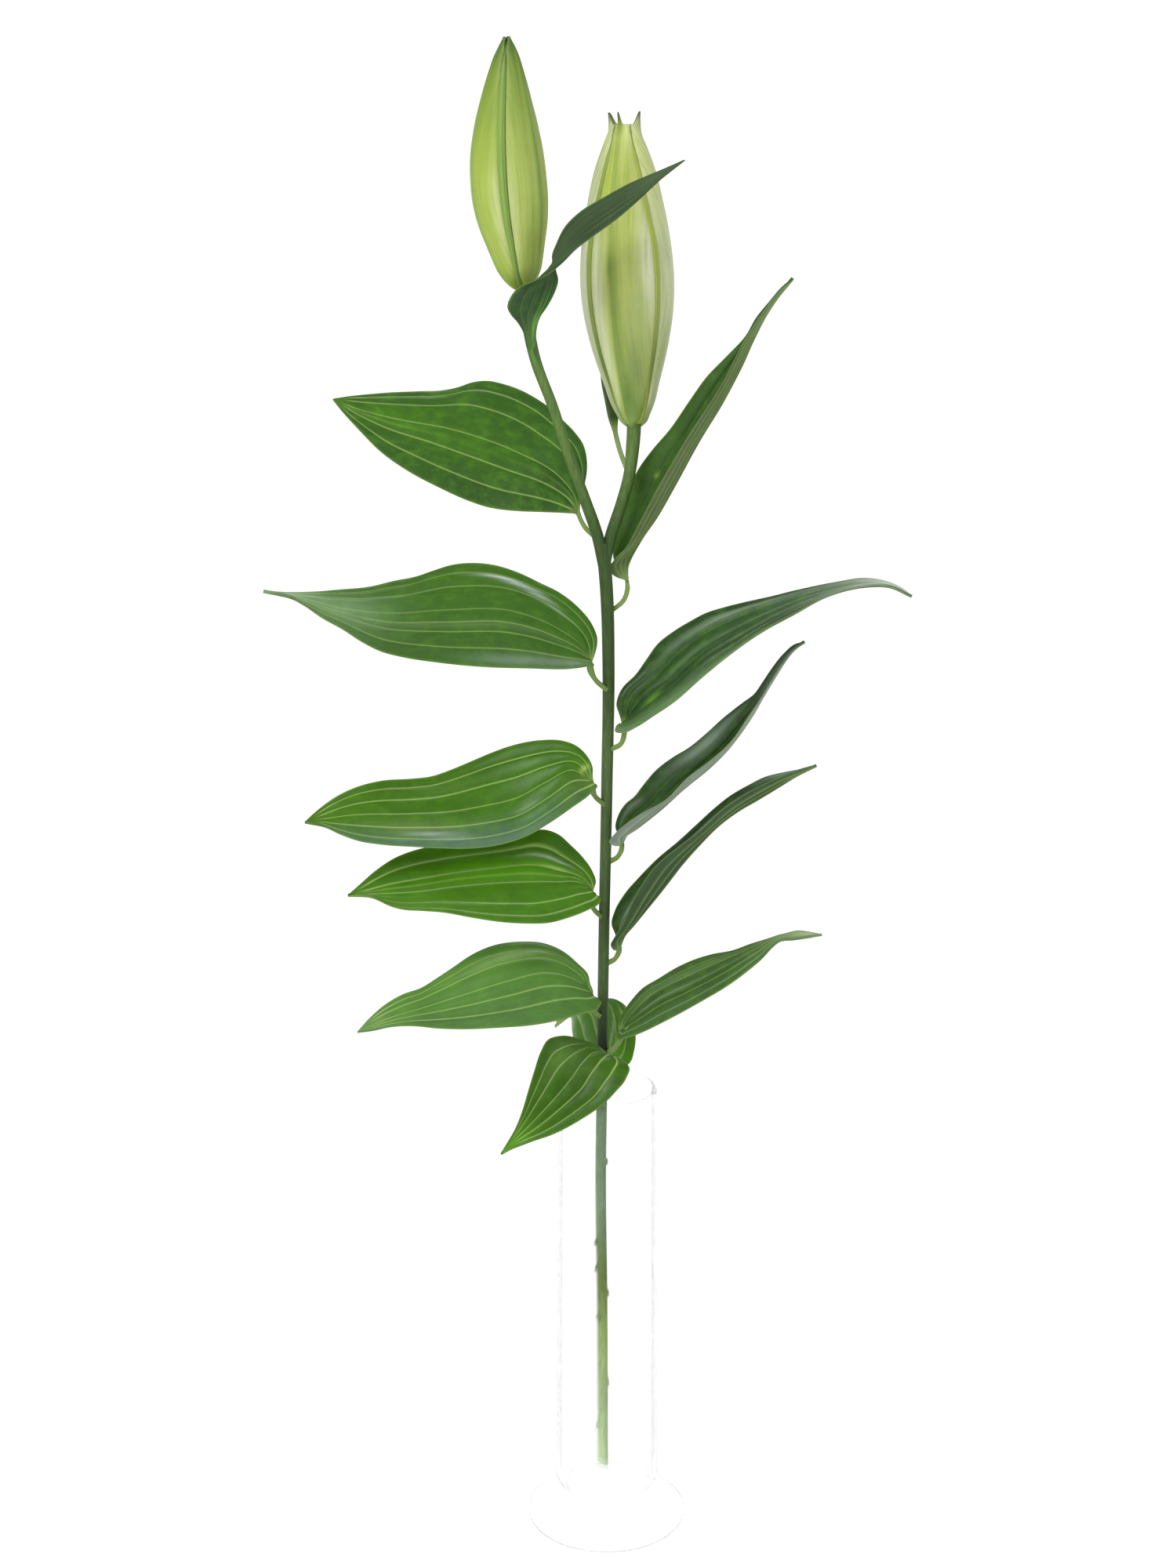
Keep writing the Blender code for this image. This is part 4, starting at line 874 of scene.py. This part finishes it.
# Stalk

def tube_tree():
    """Nodes that sweep a round section along a line whose points carry its radius."""
    tree = bpy.data.node_groups.new("Stalk along a line", "GeometryNodeTree")
    tree.is_modifier = True
    sockets = {"Line": "Geometry", "Sides": "Int", "Step": "Float", "Thickness": "Float",
               "Finish": "Material"}
    for name, kind in sockets.items():
        tree.interface.new_socket(name, in_out="INPUT", socket_type="NodeSocket" + kind)
    tree.interface.new_socket("Stalk", in_out="OUTPUT", socket_type="NodeSocketGeometry")
    given = add(tree, "NodeGroupInput").outputs
    curve = add(tree, "GeometryNodeMeshToCurve", inputs={0: given["Line"]})
    close = add(tree, "GeometryNodeResampleCurve", {"mode": "LENGTH"},
                {"Curve": curve, "Length": given["Step"]})
    girth = add(tree, "GeometryNodeInputNamedAttribute", {"data_type": "FLOAT"}, {"Name": "girth"})
    radius = add(tree, "ShaderNodeMath", TIMES, {0: girth, 1: given["Thickness"]})
    sized = add(tree, "GeometryNodeSetCurveRadius", inputs={"Curve": close, "Radius": radius})
    ring = add(tree, "GeometryNodeCurvePrimitiveCircle", {"mode": "RADIUS"},
               {"Resolution": given["Sides"], "Radius": 1.0})
    swept = add(tree, "GeometryNodeCurveToMesh", inputs={
        "Curve": sized, "Profile Curve": ring, "Scale": radius, "Fill Caps": True})
    real = add(tree, "GeometryNodeRealizeInstances", inputs={0: swept})
    dressed = add(tree, "GeometryNodeSetMaterial", inputs={"Geometry": real, "Material": given["Finish"]})
    add(tree, "NodeGroupOutput", inputs={0: dressed})
    return tree


def give(modifier, values):
    """Sets a Geometry Nodes modifier's inputs by the identifiers of their sockets."""
    for item in modifier.node_group.interface.items_tree:
        if item.item_type == "SOCKET" and item.in_out == "INPUT" and item.name in values:
            modifier[item.identifier] = values[item.name]


def swept_stalk(name, stalk, tree, values):
    """A round stalk along its smooth centre line."""
    line, run = smooth_line(np.asarray(stalk["line"]) * MM, STALK_LINE_STEPS)
    carrier = line_object(name, line.tolist())
    radii = stalk["radii"]
    girth = carrier.data.attributes.new("girth", "FLOAT", "POINT")
    girth.data.foreach_set("value", np.interp(run / run[-1], np.linspace(0, 1, len(radii)), radii) * MM)
    sweep = carrier.modifiers.new("Sweep", "NODES")
    sweep.node_group = tree
    give(sweep, values)
    return as_mesh(carrier, name)


def scarred(mesh):
    """Raises a ridge round each leaf scar of the stalk, sinks its middle, and marks it."""
    line, _ = smooth_line(np.array(STALKS["stalk"]["line"]) * MM, STALK_LINE_STEPS)
    places = np.empty(len(mesh.vertices) * 3)
    mesh.vertices.foreach_get("co", places)
    places = places.reshape(-1, 3)
    mark = np.zeros(len(places))
    for height, compass in LEAF_SCARS:
        angle = math.radians(compass)
        out = np.array([math.cos(angle), math.sin(angle), 0.0])
        centre = along_line(line, line[:, 2], np.array([height * MM]))[0] + out * SCAR_REACH * MM
        away = places - centre
        sideways = np.linalg.norm(away[:, :2], axis=1)
        spread = np.sqrt((sideways / (SCAR_WIDTH * MM)) ** 2 + (away[:, 2] / (SCAR_HEIGHT * MM)) ** 2)
        relief = bell(spread, 1, 0.35) - 0.6 * bell(spread, 0, 0.7)
        places += (out * SCAR_RIDGE * MM) * relief[:, None]
        mark = np.maximum(mark, bell(spread, 0, 0.8))
    mesh.vertices.foreach_set("co", places.ravel())
    mesh.attributes.new("scar", "FLOAT", "POINT").data.foreach_set("value", mark)


def make_stem(settings):
    finish = stem_material(settings)
    tree = tube_tree()
    values = {"Sides": STALK_SIDES, "Step": STALK_STEP * MM, "Thickness": settings.thickness,
              "Finish": finish}
    parts = [swept_stalk(name, stalk, tree, values) for name, stalk in STALKS.items()]
    stem, shape = parts[0], bmesh.new()
    for part in parts:
        shape.from_mesh(part.data)
    slope = math.radians(CUT_SLOPE)
    bmesh.ops.bisect_plane(shape, geom=shape.verts[:] + shape.edges[:] + shape.faces[:], dist=1e-7,
                           plane_co=[place * MM for place in CUT_PLACE],
                           plane_no=(math.sin(slope), 0, math.cos(slope)), clear_inner=True)
    bmesh.ops.holes_fill(shape, edges=[e for e in shape.edges if e.is_boundary], sides=0)
    bmesh.ops.recalc_face_normals(shape, faces=shape.faces)
    shape.to_mesh(stem.data)
    shape.free()
    for part in parts[1:]:
        bpy.data.objects.remove(part)
    stem.name = stem.data.name = "flower_stalk"
    scarred(stem.data)
    smoothed(stem.data, BODY_EDGE)
    finished(stem, finish, ["stem"])


# Leaves

def edge_line(stalk, offset, outline, depth):
    """One long line of a leaf in space: its leaf stalk, set off sideways, and then the blade's line."""
    outline = np.array(outline, float)
    # The depth changes from the leaf stalk's end on, taken to be this many pixels before the blade's
    lead = 8
    run = run_of(outline)
    shares = (run + lead) / (run[-1] + lead)
    blade = seen_at(outline[:, 0], outline[:, 1], smoothly(np.linspace(0, 1, len(depth)), depth, shares))
    line, run = smooth_line(np.concatenate([stalk + offset, blade]))
    base = run[(len(stalk) - 1) * LINE_STEPS]
    even = np.linspace(0, 1, BLADE_ROWS)
    # Rows stand closer at the blade's two ends, and the last one just short of its tip
    shares = 0.55 * even + 0.45 * even * even * (3 - 2 * even)
    tip = 0.998
    places = np.r_[np.linspace(0, base, STALK_ROWS, endpoint=False), base + shares * (run[-1] - base) * tip]
    return along_line(line, run, places)


def columns_with(veins):
    """Even columns across a blade, with closer ones at each vein and at the two edges."""
    places = list(np.linspace(-1, 1, 45)) + [-0.985, 0.985]
    for vein in veins:
        places += [vein + step for step in (-0.034, -0.013, 0.0, 0.013, 0.034)]
    places = sorted(p for p in places if -1 <= p <= 1)
    least = 0.007
    kept = [places[0]]
    for place in places[1:]:
        if place - kept[-1] > least:
            kept.append(place)
    return np.array(kept[:-1] + [1.0])


def stalk_side(leaf, stalk):
    """The direction across a leaf stalk, as the view sees it, from the near edge to the far one."""
    sight = unit(stalk.mean(0) - VIEW_PLACE)
    aside = unit(np.cross(unit(stalk[-1] - stalk[0]), sight))
    # The outlines' fifth points are far enough from the base to tell the two sides
    far, near = (seen_at(*leaf[key][4], leaf["depth"][line][1]) for key, line in (("far", 0), ("near", 2)))
    return -aside if np.dot(far - near, aside) < 0 else aside


def vein_relief(leaf, across, half_width):
    """The grooves and coloured lines of a blade's veins, and its rises between them."""
    grooves = lines = 0 * half_width * across
    for vein in leaf["veins"] + leaf["faint"]:
        strength = FAINT_VEIN if vein in leaf["faint"] else 1.0 if vein == 0 else SIDE_VEIN
        from_vein = (across - vein) * half_width
        grooves = np.maximum(grooves, strength * bell(from_vein, 0, GROOVE_WIDTH))
        lines = np.maximum(lines, strength * bell(from_vein, 0, LINE_WIDTH))
    marks = sorted({-1, 1, *leaf["veins"]})
    between = np.zeros_like(across)
    for start, end in zip(marks[:-1], marks[1:]):
        arch = np.sin(math.pi * np.clip((across - start) / (end - start), 0, 1))
        # Veins less than 0.3 of the half width apart have a lower rise between them
        arch = arch * min(1, (end - start) / 0.3)
        between = np.where((across >= start) & (across <= end), arch, between)
    return grooves, lines, between


def make_leaf(name, own, settings, finish):
    leaf = USUAL_LEAF | own
    stalk = np.array(leaf["stalk"]) * MM
    half = stalk_side(leaf, stalk) * leaf["stalk_width"] / 2 * MM
    far, middle, near = (edge_line(stalk, half * side, leaf[key], depth) for key, side, depth in
                         zip(("far", "mid", "near"), (1, 0, -1), leaf["depth"]))
    across = columns_with(leaf["veins"])[None, :]
    along = np.r_[np.zeros(STALK_ROWS), np.linspace(0, 1, BLADE_ROWS)][:, None]
    # The blade's middle surface: between a round section and one that is folded along the midrib
    column = across[..., None]
    curved = middle[:, None] + column * ((near - far) / 2)[:, None] \
        + column ** 2 * ((near + far) / 2 - middle)[:, None]
    softness = 0.004
    flank = np.sqrt(column ** 2 + softness) - math.sqrt(softness)
    sides = np.where(column < 0, (far - middle)[:, None], (near - middle)[:, None])
    folded = middle[:, None] + sides * (flank / flank.max())
    points = curved * (1 - leaf["fold"]) + folded * leaf["fold"]
    face = unit(np.cross(np.gradient(points, axis=0), np.gradient(points, across[0], axis=1)))
    probe = len(points) // 2, across.shape[1] // 3
    turned = (np.dot(face[probe], VIEW_PLACE - points[probe]) < 0) != leaf["flip"]
    if turned:
        face = -face
    full_width = np.linalg.norm(far - middle, axis=1) + np.linalg.norm(near - middle, axis=1)
    half_width = full_width[:, None] / 2 / MM
    # Relief shows where the blade is wide, and not at its tip
    wide = rise(half_width, 2.5, 10.0) * (1 - rise(along, 0.93, 1.0))
    grooves, lines, between = vein_relief(leaf, across, half_width)
    height = wide * (settings.roundness * between - settings.vein_depth * grooves)
    for *place, lift in leaf["waves"]:
        height = height + wide * lift * MM * spot(along, across, *place)
    # The blade thins towards its edges, and is up to 1.2 mm thicker where it is narrow
    thick = settings.thickness * (1 - 0.6 * np.abs(across) ** 6)
    thick = thick + (1 - rise(half_width, 2.0, 8.0)) * 1.2 * MM
    upper = points + face * (height + thick / 2)[..., None]
    lower = points + face * (height - thick / 2 - wide * settings.vein_depth * 0.8 * grooves)[..., None]
    tints = [painted(leaf[side], patches, along, across) * settings.brightness
             for side, patches in (("green", leaf["patches"]), ("back", []))]
    pale = (1 - rise(half_width, 1.8, 7.0)) * (1 - rise(along, 0.05, 0.15)) * leaf["pale"]
    values = {
        "across": across * half_width, "along": run_of(middle)[:, None] / MM, "under": (0, 1),
        "vein": (lines * rise(half_width, 2.0, 6.0), grooves * 0.7), "pale": pale,
        "edge": 0.55 * bell((1 - np.abs(across)) * half_width, 0, 0.35) * wide,
        "patchy": (leaf["patchy"], 0),
        "contrast": (leaf["contrast"] * 0.85, leaf["striped"][0] * 0.35),
        "striped": (0.35, leaf["striped"][1]),
    }
    piece = skin(name, upper, lower, values, tints, turned)
    finished(piece, finish, [name.replace("blade_", "")])


# Buds

def bud_rows():
    """Shares of a bud's length for the rows of a tepal, closer together at both ends."""
    even = np.linspace(0, 1, TEPAL_ROWS)
    return (even - 0.14 * np.sin(2 * math.pi * even))[:, None]


def slit_width(bud, share):
    """The width of the slits: fullest half way up, and narrow near the tip."""
    swell = 0.45 + 0.55 * np.sin(math.pi * np.clip(share, 0, 1))
    return bud["slit"] * swell * (1 - 0.7 * rise(share, 0.88, 0.97))


def bud_place(bud, share, angle, radius):
    """Points of a bud from shares of its length, angles about its axis in degrees and radii in mm."""
    base, tip = np.array(bud["base"]), np.array(bud["tip"])
    axis = unit(tip - base)
    front = unit(np.array([0.0, -1.0, 0.0]) + axis * axis[1])
    right = np.cross(axis, front)
    angle = np.radians(angle)
    ray = np.cos(angle)[..., None] * front + np.sin(angle)[..., None] * right
    bow = bud["bow"] * np.sin(math.pi * np.clip(share, 0, 1))
    return (base + share[..., None] * (tip - base) + bow[..., None] * right + radius[..., None] * ray) * MM


def slit_angle(bud, index, share):
    """The angle of a slit, which draws in towards the front near the bud's tip."""
    angle = bud["slits"][index % 3]
    return angle - bud["closing"] * rise(share, 0.55, 0.95) * np.sign(angle)


def outer_tepal(bud, index, length):
    """An outer tepal's two sides and the values at its points. Across runs from -1 over its midrib
    at 0 to 1."""
    share = bud_rows()
    across = np.linspace(-1, 1, OUTER_COLUMNS)[None, :]
    from_rib = np.abs(across)
    radius = smoothly(bud["shares"], bud["radii"], share)
    first, last = slit_angle(bud, index, share), slit_angle(bud, index + 1, share)
    rib = bud["ribs"][index]
    first, last = rib - (rib - first) % 360, rib + (last - rib) % 360
    margin = np.degrees(slit_width(bud, share) / 2 / radius)
    narrowing = 1 - bud["narrow"] * rise(share, 0.95, 1.0)
    reach = np.where(across < 0, across * (rib - first - margin), across * (last - rib - margin))
    angle = rib + reach * narrowing
    # Relief in mm: a raised midrib between two flat flanks, three creases a side and a thin margin
    crease = sum(bell(from_rib, place, 0.03) for place in (0.46, 0.66, 0.84))
    fade = rise(share, 0.0, 0.1) * (1 - rise(share, 0.92, 1.0))
    relief = fade * (0.45 * bell(across, 0, 0.1) - 0.3 * bell(from_rib, 0.24, 0.1) - 0.1 * crease
                     - 0.35 * bell(from_rib, 1, 0.08)) + 0.4 * (1 - across ** 2) * fade
    hooking = np.clip((share - 0.95) / 0.05, 0, 1) ** 2 * bell(across, 0, bud["spike"])
    level = share + bud["tip_rise"] * hooking + 0.024 * across ** 2 * (1 - rise(share, 0.0, 0.1))
    out = radius + relief + bud["hook"] * hooking
    wide = across * np.radians(np.abs(angle[:, :1] - angle[:, -1:])) / 2 * radius
    values = {"across": wide, "along": share * length, "knob": np.clip(hooking * 1.3, 0, 1)}
    sides = [bud_place(bud, level, angle, out - depth) for depth in (0, OUTER_THICKNESS)]
    return share, across, sides, values


def inner_tepal(bud, index, length):
    """An inner tepal's two sides and the values at its points. It stands up in the slit between two
    outer tepals, and near the tip it widens under them and closes the bud's top."""
    share = bud_rows()[INNER_SHORTER:-INNER_SHORTER]
    across = np.linspace(-1, 1, INNER_COLUMNS)[None, :]
    radius = smoothly(bud["shares"], bud["radii"], share)
    slope = np.arctan(np.gradient(radius[:, 0], share[:, 0] * length))[:, None]
    closing = np.clip((share - CLOSE_FROM) / (share.max() - CLOSE_FROM), 0, 1)
    widening = rise(share, WIDEN_FROM, CLOSE_FROM)
    under = np.maximum((radius - INNER_DEPTH * np.cos(slope)) * np.sqrt(1 - closing ** 2), 0.4)
    before, middle, after = (slit_angle(bud, index + step, share) for step in range(3))
    gap = np.where(across < 0, (middle - before) % 360, (after - middle) % 360)
    half = slit_width(bud, share) / 2
    body = np.degrees(half * INNER_REACH / under) * (1 - widening) + (gap / 2 - 1) * widening
    # It is turned to one side by 0.12 mm, measured on the bud's outside
    angle = middle - np.degrees(0.12 / radius) + across * body
    place = np.abs(across) * np.radians(body) * under / np.maximum(half, 0.05)
    hump = 1 - rise(place, 0.72, 1.0)
    crown = np.sqrt(np.clip(1 - place ** 2 * 0.45, 0, 1))
    proud = (INNER_DEPTH + bud["proud"]) * np.sin(math.pi * share) ** 0.4 * (1 - closing)
    out = under + proud * hump * crown
    level = share + INNER_DEPTH * np.sin(slope) / length
    values = {"across": across * 3, "along": share * length, "knob": 0}
    sides = [bud_place(bud, level, angle, grid) for grid in (out, np.maximum(out - INNER_THICKNESS, 0.1))]
    return share, across, sides, values


def make_bud(name, bud, settings, finish):
    length = np.linalg.norm(np.array(bud["tip"]) - np.array(bud["base"]))
    bright = np.array(bud["bright"]) * settings.brightness
    for index in range(3):
        outer_code, own = bud["outer"][index]
        for ring, tepal, code, patches in (
                ("outer", outer_tepal, outer_code, own + bud["outer_patches"]),
                ("inner", inner_tepal, bud["inner"][index], bud["inner_patches"])):
            share, across, (upper, lower), values = tepal(bud, index, length)
            tint = painted(code, patches, share, across) * bright
            piece = skin(f"{name}_{ring}_{index + 1}", upper, lower, values, (tint, tint), True)
            finished(piece, finish, [f"{name}_{ring}_tepal_{index + 1}"])


# Stage

def make_floor(settings):
    # Opal light table, matt: an even white ground whose own light leaves no hard shadow. The opal
    # sheet's fine grain is 2 mm.
    made, tree = node_material("Opal light table, matt")
    paint = add(tree, "ShaderNodeMix", MIX, {
        SHARE: mottle(tree, 2.0), FIRST: linear("#7c7c7c"), SECOND: linear("#787878")})
    shader = add(tree, "ShaderNodeBsdfPrincipled", inputs={
        "Base Color": paint.outputs[RESULT], "Roughness": 0.9, "Emission Color": settings.floor,
        "Emission Strength": settings.glow})
    add(tree, "ShaderNodeOutputMaterial", inputs={0: shader})
    mesh = bpy.data.meshes.new("floor")
    corners = [(x * FLOOR_REACH, y * FLOOR_REACH, 0) for x, y in ((-1, -1), (1, -1), (1, 1), (-1, 1))]
    mesh.from_pydata(corners, [], [(0, 1, 2, 3)])
    mesh.materials.append(made)
    floor = placed("floor", mesh)


def make_lights(settings):
    """An even light all round, brighter at the horizon and below it, and the soft suns."""
    world = bpy.data.worlds.new("Even studio")
    world.use_nodes = True
    tree = world.node_tree
    tree.nodes.clear()
    place = add(tree, "ShaderNodeTexCoord").outputs["Generated"]
    height = add(tree, "ShaderNodeSeparateXYZ", inputs={0: place}).outputs[2]
    level = add(tree, "ShaderNodeMapRange", inputs={
        "Value": height, "From Min": 0.05, "From Max": 0.2, "To Min": 1.05, "To Max": settings.sky})
    light = add(tree, "ShaderNodeBackground", inputs={"Color": (1, 1, 1, 1), "Strength": level})
    add(tree, "ShaderNodeOutputWorld", inputs={0: light})
    bpy.context.scene.world = world
    for name, (softness, turn, share) in SUNS.items():
        data = bpy.data.lights.new(name, "SUN")
        data.energy, data.angle = settings.key * share, math.radians(softness)
        placed(name, data).rotation_euler = [math.radians(a) for a in turn]


def make_view():
    lens = bpy.data.cameras.new("View")
    lens.lens, lens.sensor_width, lens.sensor_fit = LENS, FILM, "AUTO"
    lens.clip_start, lens.clip_end = 0.05, 200
    view = placed("View", lens)
    view.location = VIEW_PLACE.tolist()
    view.rotation_euler = (math.pi / 2 - VIEW_DOWN, 0, 0)
    bpy.context.scene.camera = view
    bpy.context.scene.view_settings.view_transform = "Standard"


# Operators

class LILY_OT_vase(bpy.types.Operator):
    """Turns the clear glass vase"""
    bl_idname = "lily.vase"
    bl_label = "Make the vase"

    def execute(self, context):
        make_vase(context.scene.lily_glass)
        return {"FINISHED"}


class LILY_OT_stem(bpy.types.Operator):
    """Sweeps the flower stalk with its two bud stalks and leaf scars"""
    bl_idname = "lily.stem"
    bl_label = "Make the stalk"

    def execute(self, context):
        make_stem(context.scene.lily_stem)
        return {"FINISHED"}


class LILY_OT_leaves(bpy.types.Operator):
    """Lofts the twelve leaves and the two bracts"""
    bl_idname = "lily.leaves"
    bl_label = "Make the leaves"

    def execute(self, context):
        settings = context.scene.lily_leaf
        finish = leaf_material(settings)
        for name, leaf in LEAVES.items():
            make_leaf("blade_" + name, leaf, settings, finish)
        return {"FINISHED"}


class LILY_OT_buds(bpy.types.Operator):
    """Closes the tepals of the two buds"""
    bl_idname = "lily.buds"
    bl_label = "Make the buds"

    def execute(self, context):
        settings = context.scene.lily_bud
        for name, tone in (("left_bud", "green"), ("right_bud", "pale")):
            finish = bud_material(settings, f"Living lily tepal, {tone}")
            make_bud(name, BUDS[name], settings, finish)
        return {"FINISHED"}


class LILY_OT_stage(bpy.types.Operator):
    """Lays the plain floor, the soft lights and the view"""
    bl_idname = "lily.stage"
    bl_label = "Make the stage"

    def execute(self, context):
        make_floor(context.scene.lily_stage)
        make_lights(context.scene.lily_stage)
        make_view()
        return {"FINISHED"}


class LILY_PT_panel(bpy.types.Panel):
    """Lists the lily's pieces with their settings"""
    bl_idname = "LILY_PT_panel"
    bl_label = "Lily in vase"
    bl_space_type = "VIEW_3D"
    bl_region_type = "UI"
    bl_category = "Lily"

    def draw(self, context):
        for group, operator in STEPS:
            box = self.layout.box()
            box.operator(operator.bl_idname)
            settings = getattr(context.scene, group)
            for key in settings.bl_rna.properties.keys():
                if key not in ("rna_type", "name"):
                    box.prop(settings, key)


GROUPS = {"lily_glass": LilyGlassSettings, "lily_stem": LilyStemSettings, "lily_leaf": LilyLeafSettings,
          "lily_bud": LilyBudSettings, "lily_stage": LilyStageSettings}
STEPS = [("lily_glass", LILY_OT_vase), ("lily_stem", LILY_OT_stem), ("lily_leaf", LILY_OT_leaves),
         ("lily_bud", LILY_OT_buds), ("lily_stage", LILY_OT_stage)]


def register():
    for group in GROUPS.values():
        bpy.utils.register_class(group)
    for _, operator in STEPS:
        bpy.utils.register_class(operator)
    bpy.utils.register_class(LILY_PT_panel)
    for name, group in GROUPS.items():
        setattr(bpy.types.Scene, name, PointerProperty(type=group))


def unregister():
    for name in GROUPS:
        delattr(bpy.types.Scene, name)
    bpy.utils.unregister_class(LILY_PT_panel)
    for _, operator in reversed(STEPS):
        bpy.utils.unregister_class(operator)
    for group in reversed(list(GROUPS.values())):
        bpy.utils.unregister_class(group)


def main():
    register()
    bpy.ops.lily.vase()
    bpy.ops.lily.stem()
    bpy.ops.lily.leaves()
    bpy.ops.lily.buds()
    bpy.ops.lily.stage()


if __name__ == "__main__":
    main()
